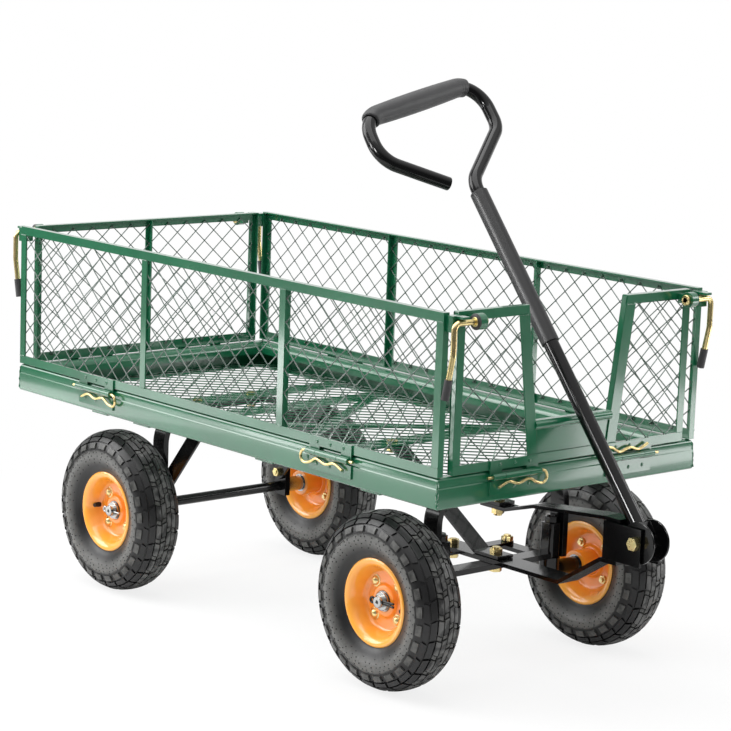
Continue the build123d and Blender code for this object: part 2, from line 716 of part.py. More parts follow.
brace_bolt = cyl_y(brace_low_x, brace_low_z, -leg_outer - 5, -leg_inner + brace_sheet + 8, bolt_radius)
brace_bolt = brace_bolt + hex_y(brace_low_x, brace_low_z, -leg_outer - 5, -leg_outer, 7.5)
nut_y = -leg_inner + brace_sheet
brace_bolt = brace_bolt + hex_y(brace_low_x, brace_low_z, nut_y, nut_y + 6.5, 7.5)
under_bridge = bridge_top - bridge_sheet
bed_bolts = [carriage_bolt(front_axle_x, -bridge_bolt_y, under_bridge)]
bed_bolts.append(carriage_bolt(rear_axle_x, -bridge_bolt_y, under_bridge))
stay_bolt = carriage_bolt(stay_top_x, 0, bar_bottom - stay_sheet)
save("chassis_bolts", [lower_pivot, upper_pivot, stay_bolt] + both_sides(bed_bolts + [brace_bolt]))

# Clevis: two side plates and a rear web welded between the tongue bars
plate_in = 16.6
plate_out = 20.6
clevis_bolt_radius = 6
clevis = box(clevis_back, clevis_x + 9, -plate_out, plate_out, clevis_low, clevis_high)
clevis = clevis - box(clevis_back + 4, clevis_x + 10, -plate_in, plate_in, clevis_low - 1, clevis_high + 1)
clevis = clevis - cyl_y(clevis_x, clevis_z, -30, 30, clevis_bolt_radius + 0.05)
save("tongue_clevis", [clevis])
clevis_bolt = cyl_y(clevis_x, clevis_z, -plate_out - 8, plate_out + 13, clevis_bolt_radius)
clevis_bolt = clevis_bolt + hex_y(clevis_x, clevis_z, -plate_out - 8, -plate_out, pivot_nut_radius)
clevis_bolt = clevis_bolt + hex_y(clevis_x, clevis_z, plate_out, plate_out + 10, pivot_nut_radius)
tie_low = housing_bottom
tie_sheet = 4
tie_high = tie_low + tie_sheet
tail_low = lower_top - lower_sheet
tail_bolt = cyl_z(tie_x, 0, tie_low - 6, lower_top + 8, 5)
tail_bolt = tail_bolt + hex_z(tie_x, 0, tie_low - 6, tie_low - side_gap, 8.5)
tail_bolt = tail_bolt + hex_z(tie_x, 0, lower_top, lower_top + 7, 8.5)
tail_spacer = cyl_z(tie_x, 0, tie_high + side_gap, tail_low, 9) - cyl_z(tie_x, 0, tie_low, lower_top, 5.03)
save("tongue_bolts", [clevis_bolt, tail_bolt, tail_spacer])

# Tie bar: a flat bar that links both knuckle arms to the tongue's tail
tie = box(tie_x - 10, tie_x + 10, -king_y, king_y, tie_low, tie_high)
for y in (-king_y, king_y):
    tie = tie + cyl_z(tie_x, y, tie_low, tie_high, 10)
for y in (-king_y, 0, king_y):
    tie = tie - cyl_z(tie_x, y, tie_low - 1, tie_high + 1, 5 + running_gap)
save("tie_bar", [tie])

# Steering knuckles: kingpin, spindle and arm welded to one boss
arm_top = housing_bottom - side_gap
arm_sheet = 6
knuckle = cyl_z(front_axle_x, king_y, axle_z - 13, arm_top, 15)
knuckle = knuckle + cyl_z(front_axle_x, king_y, axle_z, housing_top + 12, king_radius)
king_nut_radius = leg_inner - king_y - 1
knuckle = knuckle + hex_z(
    front_axle_x, king_y, housing_top + side_gap, housing_top + 9, king_nut_radius)
knuckle = knuckle + cyl_y(front_axle_x, axle_z, king_y, hub_in - side_gap, 12)
knuckle = knuckle + cyl_y(front_axle_x, axle_z, king_y, axle_end, axle_radius)
arm = box(tie_x, front_axle_x, king_y - 12, king_y + 12, arm_top - arm_sheet, arm_top)
knuckle = knuckle + arm + cyl_z(tie_x, king_y, arm_top - arm_sheet, arm_top, 12)
knuckle = knuckle + cyl_z(tie_x, king_y, arm_top - arm_sheet, tie_high + 9, 5)
knuckle = knuckle + hex_z(tie_x, king_y, tie_high + side_gap, tie_high + 7, 8.5)
knuckle = knuckle - pin_hole(front_axle_x)
knuckle_set = [
    knuckle, axle_washer(front_axle_x, hub_out + side_gap, hub_out + 3.4, 13), split_pin(front_axle_x)]
save("knuckle_left", knuckle_set)
save("knuckle_right", [flip_y(s) for s in knuckle_set])

# Wheels: hollow tyre, two pressed rim halves, hub tube with its bearings and rim bolts
tyre_radius = tyre_diameter / 2
tyre_half = tyre_width / 2
rim_radius = 62.5
rim_half = 28
seat_radius = 52.5
dish_radius = 42
rim_sheet = 2.5
bead_y = rim_half - rim_sheet - 0.4
bead_radius = seat_radius + 0.3
crown = tyre_radius
bolt_circle = 33.5


def spun(points):
    # an outline of (radius, y) corners turned about the wheel's own axis
    face = make_face(Polyline(*points, close=True))
    return revolve(face, Axis.Y)


def sidewall(sign):
    return [
        (bead_radius, sign * bead_y), (rim_radius + 2, sign * bead_y),
        (rim_radius + 7, sign * (tyre_half - 7)), (rim_radius + 16, sign * (tyre_half - 2)),
        ((rim_radius + crown) / 2, sign * tyre_half),
        (crown - 24, sign * (tyre_half - 0.8)), (crown - 16, sign * (tyre_half - 3.5)),
        (crown - 9, sign * (tyre_half - 8.5)), (crown - 4, sign * (tyre_half - 15.5)),
        (crown - 1, sign * (tyre_half - 25)), (crown, sign * (tyre_half - 33))]


def lining(sign):
    return [
        (bead_radius, sign * (bead_y - 8)), (rim_radius + 8, sign * (tyre_half - 16)),
        ((rim_radius + crown) / 2, sign * (tyre_half - 8)), (crown - 20, sign * (tyre_half - 12)),
        (crown - 10, sign * (tyre_half - 25))]


tyre = spun(sidewall(1) + sidewall(-1)[::-1] + lining(-1) + lining(1)[::-1])
rim = spun([
    (seat_radius, 0), (seat_radius, rim_half - rim_sheet), (rim_radius, rim_half - rim_sheet),
    (rim_radius, rim_half), (seat_radius - rim_sheet, rim_half), (seat_radius - rim_sheet, 12),
    (dish_radius, 3), (21, 3), (21, 0)])
rim_bolts = []
for i in range(4):
    angle = math.radians(45 + 90 * i)
    bx = bolt_circle * math.cos(angle)
    bz = bolt_circle * math.sin(angle)
    rim = rim - cyl_y(bx, bz, -1, 4, bolt_radius + 0.1)
    bolt = cyl_y(bx, bz, -11, 3, bolt_radius)
    bolt = bolt + hex_y(bx, bz, 3, 8.5, 7.5)
    rim_bolts.append(bolt + hex_y(bx, bz, -9.5, -3, 7.5))
rims = [rim, flip_y(rim)]
hub_tube = spun([(17.1, -hub_inner), (17.1, hub_outer), (20.9, hub_outer), (20.9, -hub_inner)])


def bearing(y0, y1):
    bore = axle_radius + running_gap
    return spun([(bore, y0), (bore, y1), (17, y1), (17, y0)])


bearings = [bearing(hub_outer - 14, hub_outer - 0.5), bearing(0.5 - hub_inner, 14 - hub_inner)]
hub_set = [hub_tube] + bearings + rim_bolts


def wheel(name, x, side):
    def there(shape):
        turned = shape if side > 0 else flip_y(shape)
        return Pos(x, side * wheel_y, axle_z) * turned

    save("tyre_" + name, [there(tyre)])
    save("rim_" + name, [there(s) for s in rims])
    save("hub_" + name, [there(s) for s in hub_set])


wheel("front_left", front_axle_x, 1)
wheel("front_right", front_axle_x, -1)
wheel("rear_left", rear_axle_x, 1)
wheel("rear_right", rear_axle_x, -1)

# Handle: shaft with two cheek discs, matte sleeve, bent loop and foam grip
handle_plane = Plane(
    origin=(clevis_x, 0, clevis_z), x_dir=(0, 1, 0), z_dir=(math.cos(lean), 0, math.sin(lean)))
up_shaft = Location(Plane(
    origin=(clevis_x, 0, clevis_z), x_dir=(0, 1, 0), z_dir=(-math.sin(lean), 0, math.cos(lean))))
loop_radius = 9.8
grip_radius = 15
cheek_in = 13
cheek_out = 16


def along(s0, s1, radius):
    return up_shaft * Pos(0, 0, (s0 + s1) / 2) * Cylinder(radius, abs(s1 - s0))


yoke_top = 25
shaft = along(yoke_top, handle_length, shaft_radius) - along(40, handle_length + 1, loop_radius + 0.1)
yoke = up_shaft * Pos(0, 0, yoke_top - 9) * Box(2 * cheek_in, 22, 18)
yoke = yoke + cyl_y(clevis_x, clevis_z, -cheek_out, cheek_out, 10)
yoke = yoke + cyl_y(clevis_x, clevis_z, cheek_in, cheek_out, cheek_radius)
yoke = yoke + cyl_y(clevis_x, clevis_z, -cheek_out, -cheek_in, cheek_radius)
yoke = yoke - cyl_y(clevis_x, clevis_z, -30, 30, clevis_bolt_radius + running_gap)
save("handle_shaft", [shaft, yoke])
sleeve_length = 249
sleeve_radius = 13
sleeve_top = handle_length - 1
sleeve = along(sleeve_top - sleeve_length, sleeve_top, sleeve_radius)
sleeve = sleeve - along(0, handle_length + 9, shaft_radius + 0.05)
save("handle_sleeve", [sleeve])


def on_handle(a, s):
    spot = handle_plane.from_local_coords(Vector(a, handle_length + s))
    return (spot.X, spot.Y, spot.Z)


loop_corners = [
    on_handle(0, -25), on_handle(0, 19), on_handle(97, 108), on_handle(97, 189), on_handle(-150, 128),
    on_handle(-153, 61), on_handle(-49, 16)]
loop_bends = [38, 35, 38, 40, 40]
loop_edges = rounded_edges(loop_corners, loop_bends)
loop_end = Vector(*loop_corners[6])
end_way = (loop_end - Vector(*loop_corners[5])).normalized()
end_bore = Location(Plane(origin=loop_end, z_dir=end_way)) * Pos(0, 0, -14) * Cylinder(loop_radius - 1.9, 30)
save("handle_loop", [wire_rod(Wire(loop_edges), loop_radius) - end_bore])

# The grip covers the top run of the loop and part of the bends at its two ends
bend_before, top_run, bend_after = loop_edges[5:8]
grip_line = Wire([bend_before.trim(0.72, 1), top_run, bend_after.trim(0, 0.4)])
grip_core = Wire([bend_before.trim(0.66, 1), top_run, bend_after.trim(0, 0.46)])
save("handle_grip", [wire_rod(grip_line, grip_radius) - wire_rod(grip_core, loop_radius + 0.05)])
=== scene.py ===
import math
import random

import bpy
from mathutils import Matrix, Vector


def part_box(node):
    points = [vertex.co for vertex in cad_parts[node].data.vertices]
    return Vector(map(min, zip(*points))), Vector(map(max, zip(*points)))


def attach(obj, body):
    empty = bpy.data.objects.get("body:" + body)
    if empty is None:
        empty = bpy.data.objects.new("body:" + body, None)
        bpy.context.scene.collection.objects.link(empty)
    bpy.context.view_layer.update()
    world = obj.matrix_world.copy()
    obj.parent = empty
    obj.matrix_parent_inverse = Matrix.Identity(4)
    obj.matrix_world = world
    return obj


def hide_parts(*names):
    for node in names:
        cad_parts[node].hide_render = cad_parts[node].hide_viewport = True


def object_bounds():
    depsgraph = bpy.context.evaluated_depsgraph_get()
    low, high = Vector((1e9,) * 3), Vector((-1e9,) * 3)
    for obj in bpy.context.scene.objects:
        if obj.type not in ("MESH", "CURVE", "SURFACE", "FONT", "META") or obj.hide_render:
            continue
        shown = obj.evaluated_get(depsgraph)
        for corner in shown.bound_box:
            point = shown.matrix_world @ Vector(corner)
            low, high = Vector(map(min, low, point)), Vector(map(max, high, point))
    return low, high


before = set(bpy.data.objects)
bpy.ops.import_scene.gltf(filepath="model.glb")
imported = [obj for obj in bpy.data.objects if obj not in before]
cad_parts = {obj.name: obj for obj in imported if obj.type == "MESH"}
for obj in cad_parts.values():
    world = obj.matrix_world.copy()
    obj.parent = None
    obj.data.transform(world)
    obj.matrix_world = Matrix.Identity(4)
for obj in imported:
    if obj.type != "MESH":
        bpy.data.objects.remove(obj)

cad_low, cad_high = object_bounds()

# Bed rim
# Sheet steel pressed to a channel with a rounded shoulder, a crease and a turned-down inner lip.
# Four lengths are mitred, welded by hand at the corners and dip painted in a glossy green.
mm = 0.001
rim_low, rim_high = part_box("tray_rim")
rim_height = rim_high.z - rim_low.z
rim_sheet = 2 * mm


class Signal:
    """A shader socket that takes part in sums."""

    def __init__(self, socket):
        self.socket = socket
        self.tree = socket.id_data

    def node(self, kind, settings, sockets, output=0):
        made = self.tree.nodes.new(kind)
        for name, value in settings.items():
            setattr(made, name, value)
        for name, value in sockets.items():
            if isinstance(value, Signal):
                self.tree.links.new(value.socket, made.inputs[name])
            else:
                made.inputs[name].default_value = value
        return Signal(made.outputs[output])

    def maths(self, operation, first, second):
        return self.node("ShaderNodeMath", {"operation": operation}, {0: first, 1: second})

    def __add__(self, other):
        return self.maths("ADD", self, other)

    __radd__ = __add__

    def __mul__(self, other):
        return self.maths("MULTIPLY", self, other)

    __rmul__ = __mul__

    def __sub__(self, other):
        return self.maths("SUBTRACT", self, other)

    def __rsub__(self, other):
        return self.maths("SUBTRACT", other, self)

    def noise(self, scale, detail=2.0):
        return self.node("ShaderNodeTexNoise", {}, {"Vector": self, "Scale": scale, "Detail": detail})

    def step(self, low, high):
        # 0 below low, 1 above high
        return self.node(
            "ShaderNodeMapRange", {"interpolation_type": "SMOOTHSTEP"},
            {"Value": self, "From Min": low, "From Max": high})

    def blend(self, one, two):
        # colour one where the signal is 0, colour two where it is 1
        return self.node("ShaderNodeMix", {"data_type": "RGBA"}, {0: self, 6: one, 7: two}, 2)

    def bump(self, depth):
        return self.node("ShaderNodeBump", {}, {"Height": self, "Distance": depth, "Strength": 1.0})

    def feed(self, shader, name):
        self.tree.links.new(self.socket, shader.inputs[name])


def srgb(red, green, blue):
    # a colour as it looks on screen, turned into the linear one that a shader takes
    def linear(c):
        return c / 12.92 if c <= 0.04045 else ((c + 0.055) / 1.055) ** 2.4

    return (linear(red), linear(green), linear(blue), 1.0)


def new_finish(name):
    material = bpy.data.materials.new(name)
    material.use_nodes = True
    tree = material.node_tree
    place = Signal(tree.nodes.new("ShaderNodeTexCoord").outputs["Object"])
    return material, tree.nodes["Principled BSDF"], place


def painted(name, deep, bright, gloss, peel, coat=0.8, share=None):
    # enamel: cloudy colour, uneven gloss, orange peel and a wet top; share can steer the two colours
    material, shader, place = new_finish(name)
    cloud = place.noise(9.0, 3.0).step(0.3, 0.7)
    mix = share(place, cloud) if share else cloud
    mix.blend(deep, bright).feed(shader, "Base Color")
    smear = place.noise(22.0, 3.0)
    (gloss + 0.1 * smear).feed(shader, "Roughness")
    (place.noise(260.0) + 1.5 * place.noise(60.0)).bump(peel).feed(shader, "Normal")
    shader.inputs["Coat Weight"].default_value = coat
    shader.inputs["Coat Roughness"].default_value = 0.09
    return material


def merged(parts):
    points = []
    faces = []
    for part_points, part_faces in parts:
        start = len(points)
        points += part_points
        faces += [[start + i for i in face] for face in part_faces]
    return points, faces


def new_piece(name, body, shape, finish, sharp=35):
    points, faces = shape
    mesh = bpy.data.meshes.new(name)
    mesh.from_pydata([tuple(p) for p in points], [], faces)
    mesh.materials.append(finish)
    mesh.shade_smooth()
    mesh.set_sharp_from_angle(angle=math.radians(sharp))
    piece = bpy.data.objects.new(name, mesh)
    bpy.context.scene.collection.objects.link(piece)
    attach(piece, body)
    return piece


def arc(centre, radius, start, end, steps=5):
    # points of a round corner, with its angles in degrees
    angles = [math.radians(start + (end - start) * i / steps) for i in range(steps + 1)]
    return [(centre[0] + radius * math.cos(a), centre[1] + radius * math.sin(a)) for a in angles]


def thickened(line, sheet):
    # an open line of sheet metal given its thickness on the left-hand side
    inner = []
    last = len(line) - 1
    for i in range(len(line)):
        before = Vector(line[max(i, 1)]) - Vector(line[max(i, 1) - 1])
        after = Vector(line[min(i, last - 1) + 1]) - Vector(line[min(i, last - 1)])
        one = Vector((-before.y, before.x)).normalized()
        two = Vector((-after.y, after.x)).normalized()
        mean = (one + two).normalized()
        inner.append(Vector(line[i]) + mean * sheet / mean.dot(one))
    return list(line) + [tuple(p) for p in inner[::-1]]


def round_rectangle(profile, low, high):
    # a closed profile of (inset, height) carried round a rectangle with mitred corners
    corners = [
        (low.x, low.y, 1, 1), (high.x, low.y, -1, 1), (high.x, high.y, -1, -1), (low.x, high.y, 1, -1)]
    count = len(profile)
    points = []
    faces = []
    for x, y, in_x, in_y in corners:
        points += [(x + in_x * inset, y + in_y * inset, low.z + height) for inset, height in profile]
    for c in range(4):
        for i in range(count):
            j = (i + 1) % count
            d = (c + 1) % 4
            faces.append([c * count + i, d * count + i, d * count + j, c * count + j])
    return points, faces


def tube(path, radius, sides=8):
    # a round rod along a line of points, closed at both ends; radius is one value or one per point
    path = [Vector(p) for p in path]
    radii = radius if isinstance(radius, list) else [radius] * len(path)
    last = len(path) - 1
    way = (path[1] - path[0]).normalized()
    side = way.orthogonal().normalized()
    points = []
    faces = []
    for i, spot in enumerate(path):
        before = (path[max(i, 1)] - path[max(i, 1) - 1]).normalized()
        after = (path[min(i, last - 1) + 1] - path[min(i, last - 1)]).normalized()
        tangent = (before + after).normalized()
        side = (side - tangent * side.dot(tangent)).normalized()
        across = tangent.cross(side)
        for k in range(sides):
            angle = 2 * math.pi * k / sides
            points.append(spot + (side * math.cos(angle) + across * math.sin(angle)) * radii[i])
    for i in range(last):
        for k in range(sides):
            n = (k + 1) % sides
            faces.append([i * sides + k, i * sides + n, (i + 1) * sides + n, (i + 1) * sides + k])
    faces.append(list(range(sides))[::-1])
    faces.append([last * sides + k for k in range(sides)])
    return points, faces


green_paint = painted(
    "green_enamel", srgb(0.06, 0.36, 0.235), srgb(0.08, 0.40, 0.265), 0.2, 0.03 * mm)
shoulder = 5 * mm
lip_inset = 24 * mm
lip_foot = rim_height - 20 * mm
lip_roll = 12 * mm
crease = rim_height - 15 * mm
band_in = 1.1 * mm
rim_line = [(lip_inset, lip_foot)]
rim_line += arc((lip_inset - lip_roll, rim_height - lip_roll), lip_roll, 0, 90, 9)
rim_line += arc((shoulder + band_in, rim_height - shoulder), shoulder, 90, 180)
rim_line += [(band_in, crease + 1.4 * mm), (0, crease)]
rim_line += arc((4 * mm, 4 * mm), 4 * mm, 180, 270)
rim_line.append((25 * mm, 0))
bed_rim = new_piece(
    "bed_rim", "chassis",
    round_rectangle(thickened(rim_line, rim_sheet), rim_low, rim_high), green_paint)
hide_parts("tray_rim")

dice = random.Random(7)


def weld_bead(start, end, radius, pitch=2.4 * mm):
    # a hand-laid seam: overlapping blobs that wander a little
    start = Vector(start)
    end = Vector(end)
    count = max(3, round((end - start).length / pitch))
    path = []
    radii = []
    for i in range(count + 1):
        wander = Vector([dice.uniform(-0.25, 0.25) * radius for axis in range(3)])
        path.append(start.lerp(end, i / count) + wander)
        radii.append(radius * dice.uniform(0.65, 1.2))
    return tube(path, radii, 6)


corner_beads = []
for x, in_x in ((rim_low.x, 1), (rim_high.x, -1)):
    for y, in_y in ((rim_low.y, 1), (rim_high.y, -1)):
        edge = Vector((x + in_x * 0.4 * mm, y + in_y * 0.4 * mm, 0))
        foot = edge + Vector((0, 0, rim_low.z + 4 * mm))
        top = edge + Vector((in_x * band_in, in_y * band_in, rim_high.z - shoulder))
        corner_beads.append(weld_bead(foot, top, 1.8 * mm))
        crown = Vector((x + in_x * shoulder, y + in_y * shoulder, rim_high.z - 0.2 * mm))
        inner = Vector((x + in_x * lip_inset, y + in_y * lip_inset, rim_high.z - 0.2 * mm))
        corner_beads.append(weld_bead(crown, inner, 1.3 * mm))
new_piece("rim_corner_welds", "chassis", merged(corner_beads), green_paint)

# Bed floor
# One sheet of expanded steel: slit, stretched open into diamonds and laid on the rim's lower flange.
# Its strands are thin and stand on edge, so the ground shows between them.
floor_low, floor_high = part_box("tray_floor")
cell_x = 31 * mm
cell_y = 32 * mm
strand = 1.2 * mm
strand_tilt = 0.1 * mm
strand_sheet = 1.7 * mm


def expanded_metal(low, high):
    level = (low.z + high.z) / 2
    across = math.floor((high.x - low.x) / cell_x)
    along = math.floor((high.y - low.y) / cell_y)
    step_x = (high.x - low.x) / across
    step_y = (high.y - low.y) / along
    hole = 1 - strand * math.hypot(step_x, step_y) / (step_x * step_y)
    points = []
    faces = []
    index = {}

    def point(x, y, z):
        key = (round(x * 1e6), round(y * 1e6), round(z * 1e6))
        if key not in index:
            index[key] = len(points)
            points.append((x, y, z))
        return index[key]

    centres = [(i + 0.5, j + 0.5) for i in range(across) for j in range(along)]
    centres += [(i, j) for i in range(1, across) for j in range(1, along)]
    for i, j in centres:
        x = low.x + i * step_x
        y = low.y + j * step_y
        spots = [(0.5, 0), (0, 0.5), (-0.5, 0), (0, -0.5)]
        for side, drop in ((1, 0), (-1, strand_sheet)):
            base = level + strand_sheet / 2 - drop
            outer = [point(x + u * step_x, y + v * step_y, base) for u, v in spots]
            inner = []
            for u, v in spots:
                tilt = strand_tilt * (1 if v > 0 else -1 if v < 0 else 0)
                inner.append(point(x + u * step_x * hole, y + v * step_y * hole, base + tilt))
            for k in range(4):
                n = (k + 1) % 4
                face = [outer[k], outer[n], inner[n], inner[k]]
                faces.append(face if side > 0 else face[::-1])
            if side > 0:
                upper = inner
        for k in range(4):
            n = (k + 1) % 4
            faces.append([upper[k], upper[n], inner[n], inner[k]])
    return points, faces


floor = new_piece(
    "bed_floor", "chassis", expanded_metal(floor_low, floor_high), green_paint, 20)
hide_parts("tray_floor")

# Flat bars under the floor
# Hot-rolled flats welded across the bed, with a diagonal cross between two of them.
# They are painted with the bed, so they show dark green through the floor.


def soften(node, finish, width=0.7 * mm):
    # keeps a solid's shape, joins its split edges and breaks its sharp ones
    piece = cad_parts[node]
    for holder in piece.material_slots:
        holder.material = finish
    weld = piece.modifiers.new("weld", "WELD")
    weld.merge_threshold = 0.01 * mm
    flat = piece.modifiers.new("flat", "DECIMATE")
    flat.decimate_type = "DISSOLVE"
    flat.angle_limit = math.radians(0.5)
    edges = piece.modifiers.new("edges", "BEVEL")
    edges.width = width
    edges.segments = 2
    edges.limit_method = "ANGLE"
    edges.angle_limit = math.radians(35)
    normals = piece.modifiers.new("normals", "WEIGHTED_NORMAL")
    normals.keep_sharp = True


soften("floor_braces", green_paint)

# Axle bridges, braces and steering frame
# Flat and round bar, sheared, bent hot and welded, finished in a thin satin black enamel.
# Bolts join them under the bed, so each stays a bar with plain broken edges.
black_paint = painted(
    "black_enamel", srgb(0.02, 0.02, 0.024), srgb(0.04, 0.04, 0.045), 0.16, 0.02 * mm, 0.4)
black_paint.node_tree.nodes["Principled BSDF"].inputs["Specular IOR Level"].default_value = 0.15
for bar in ("rear_bridge", "rear_braces", "front_bridge", "kingpin_housings", "front_beam", "front_brace",
            "upper_pivot_bracket", "tongue_bars", "tongue_clevis", "tie_bar", "knuckle_left",
            "knuckle_right"):
    soften(bar, black_paint)

# Axle, washers, bolts and pins
# A turned axle painted with the bridges, its pins in bright zinc plate, and bolts with a yellow
# chromate over their zinc. The chromate is thin, so its gold drifts towards green and rose.


def plated(name, base, drift_one, drift_two, rough):
    material, shader, place = new_finish(name)
    cloud = place.noise(60.0, 3.0)
    tint = cloud.step(0.35, 0.65).blend(drift_one, drift_two)
    place.noise(150.0).step(0.3, 0.6).blend(tint, base).feed(shader, "Base Color")
    (rough + 0.12 * place.noise(90.0, 3.0)).feed(shader, "Roughness")
    shader.inputs["Metallic"].default_value = 1.0
    return material


zinc_steel = plated(
    "bright_zinc", srgb(0.70, 0.70, 0.69), srgb(0.62, 0.63, 0.65), srgb(0.76, 0.75, 0.72), 0.14)
yellow_zinc = plated(
    "yellow_zinc", srgb(0.90, 0.82, 0.58), srgb(0.86, 0.82, 0.60), srgb(0.92, 0.79, 0.57), 0.22)
soften("rear_axle", black_paint)
soften("rear_axle_pins", zinc_steel, 0.4 * mm)
soften("chassis_bolts", yellow_zinc, 0.5 * mm)
soften("tongue_bolts", yellow_zinc, 0.5 * mm)

tie_low, tie_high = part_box("tie_bar")
for body, way in (("knuckle_left", 1), ("knuckle_right", -1)):
    foot = Vector(((tie_low.x + tie_high.x) / 2, way * (tie_high.y - 10 * mm), tie_high.z + 0.5 * mm))
    rise = Vector((0, 0, 1))
    nut_path = [foot, foot + rise * 5.8 * mm, foot + rise * 6.8 * mm]
    stud_path = [foot, foot + rise * 8.6 * mm, foot + rise * 9.2 * mm]
    tie_nut = merged([
        tube(nut_path, [9 * mm, 9 * mm, 7.8 * mm], 6), tube(stud_path, [5.4 * mm, 5.4 * mm, 4.6 * mm], 14)])
    new_piece("tie_nut_" + body, body, tie_nut, yellow_zinc)

# Tyres
# Black rubber moulded in one go: a round carcass, rows of staggered tread blocks with small bars
# between them, lugs and a broken ring round the shoulder and the spews that the mould's vents leave.
wheel_names = ("front_left", "front_right", "rear_left", "rear_right")
tyre_low, tyre_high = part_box("tyre_front_left")
tyre_radius = (tyre_high.z - tyre_low.z) / 2
tyre_half = (tyre_high.y - tyre_low.y) / 2
rim_box_low, rim_box_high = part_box("rim_front_left")
flange_radius = (rim_box_high.z - rim_box_low.z) / 2
flange_half = (rim_box_high.y - rim_box_low.y) / 2
tread_depth = 3 * mm
pitches = 26


def smooth_line(line, steps=6):
    # a curve through the given points
    out = []
    ends = [line[0]] + list(line) + [line[-1]]
    for i in range(1, len(ends) - 2):
        a, b, c, d = (Vector(ends[i + k]) for k in (-1, 0, 1, 2))
        for s in range(steps):
            t = s / steps
            out.append(0.5 * (2 * b + (c - a) * t + (2 * a - 5 * b + 4 * c - d) * t * t
                              + (3 * b - 3 * c + d - a) * t ** 3))
    out.append(Vector(line[-1]))
    return out


def spun(profile, steps):
    # an open line of (radius, y) turned about the wheel's own axis
    points = []
    faces = []
    count = len(profile)
    for k in range(steps):
        angle = 2 * math.pi * k / steps
        points += [(r * math.cos(angle), y, r * math.sin(angle)) for r, y in profile]
    for k in range(steps):
        n = (k + 1) % steps
        for i in range(count - 1):
            faces.append([k * count + i, k * count + i + 1, n * count + i + 1, n * count + i])
    return points, faces


base_radius = tyre_radius - tread_depth
side_line = [
    (base_radius, 0), (base_radius - 0.6 * mm, 9 * mm), (base_radius - 2.6 * mm, 17.5 * mm),
    (base_radius - 6.5 * mm, 25 * mm), (base_radius - 12.5 * mm, 31 * mm),
    (base_radius - 21 * mm, tyre_half - 2.4 * mm), (base_radius - 30 * mm, tyre_half - 0.4 * mm),
    (base_radius - 36 * mm, tyre_half), (base_radius - 42 * mm, tyre_half - 2.2 * mm),
    (base_radius - 49 * mm, tyre_half - 5.5 * mm), (base_radius - 55 * mm, tyre_half - 8.5 * mm),
    (flange_radius + 1.5 * mm, flange_half - 1.5 * mm), (flange_radius - 4 * mm, flange_half - 3 * mm)]
carcass_line = smooth_line(side_line)
carcass_run = [0.0]
for before, after in zip(carcass_line, carcass_line[1:]):
    carcass_run.append(carcass_run[-1] + (after - before).length)


def on_carcass(run, angle, lift):
    # a point at a run from the crown, negative on the inner side, lifted off the rubber
    way = abs(run)
    i = 1
    while i < len(carcass_run) - 1 and carcass_run[i] < way:
        i += 1
    share = (way - carcass_run[i - 1]) / (carcass_run[i] - carcass_run[i - 1])
    spot = carcass_line[i - 1].lerp(carcass_line[i], share)
    slope = (carcass_line[i] - carcass_line[i - 1]).normalized()
    r = spot.x + slope.y * lift
    y = spot.y - slope.x * lift
    return (r * math.cos(angle), math.copysign(y, run), r * math.sin(angle))


def tread_block(runs, angles, height, skew=0.0, taper=0.25 * mm):
    # a moulded block on the carcass: three rows of top points and a skirt sunk into the rubber
    rows = [runs[0], (runs[0] + runs[1]) / 2, runs[1]]
    turns = [angles[0], (angles[0] + angles[1]) / 2, angles[1]]
    points = []
    for level in (height, -0.6 * mm):
        grow = 0 if level > 0 else taper
        for a, run in enumerate(rows):
            for b, turn in enumerate(turns):
                out_run = run + math.copysign(grow, run) * (a - 1)
                lean = skew * (a - 1) + (b - 1) * grow / base_radius
                points.append(on_carcass(out_run, turn + lean, level))
    loop = [0, 1, 2, 5, 8, 7, 6, 3]
    faces = [[0, 1, 4, 3], [1, 2, 5, 4], [3, 4, 7, 6], [4, 5, 8, 7]]
    faces += [[loop[i], loop[i - 1], loop[i - 1] + 9, loop[i] + 9] for i in range(8)]
    faces.append([i + 9 for i in loop[::-1]])
    if runs[0] < 0:
        faces = [face[::-1] for face in faces]
    return points, faces


pitch = 2 * math.pi / pitches
stagger = 0.25
tread = []
lugs = []
# each row's list, its run from the crown in mm, phase and half width in pitches, height and skew
block_rows = [
    (tread, 0.9, 7.6, 0.0, 0.34, tread_depth, 0.04),
    (tread, 9.4, 16.8, 0.08, 0.34, tread_depth, -0.04),
    (tread, 18.8, 26.6, 0.2, 0.43, 0.9 * tread_depth, 0.05),
    (tread, 28.8, 35.8, 0.32, 0.42, 0.8 * tread_depth, -0.05),
    (lugs, 1.2, 7.3, 0.5, 0.09, 0.6 * tread_depth, 0.04),
    (lugs, 9.8, 16.4, 0.58, 0.09, 0.6 * tread_depth, -0.04),
    (lugs, 38.6, 46.8, 0.3, 0.29, 0.75 * tread_depth, 0.0),
    (lugs, 50.4, 51.6, 0.3, 0.36, 0.8 * mm, 0.0)]
for side in (1, -1):
    for k in range(pitches):
        turn = (k + side * stagger) * pitch
        for blocks, start, end, phase, half, height, skew in block_rows:
            middle = turn + phase * pitch
            blocks.append(tread_block(
                (side * start * mm, side * end * mm), (middle - half * pitch, middle + half * pitch),
                height, skew * pitch * side))
vents = []
for side in (1, -1):
    for run, count in ((53.6, 47), (58.8, 52), (64, 37), (70.5, 29)):
        for k in range(count):
            turn = (k + dice.uniform(-0.3, 0.3)) * 2 * math.pi / count
            size = dice.uniform(0.9, 1.3)
            foot = on_carcass(side * run * mm, turn, -0.3 * mm)
            tip = on_carcass(side * run * mm, turn, 0.5 * mm)
            vents.append(tube([foot, tip], [size * mm, 0.8 * size * mm], 6))
carcass_profile = [(p.x, -p.y) for p in carcass_line[::-1]] + [(p.x, p.y) for p in carcass_line[1:]]
tyre_shape = spun(carcass_profile, 132)


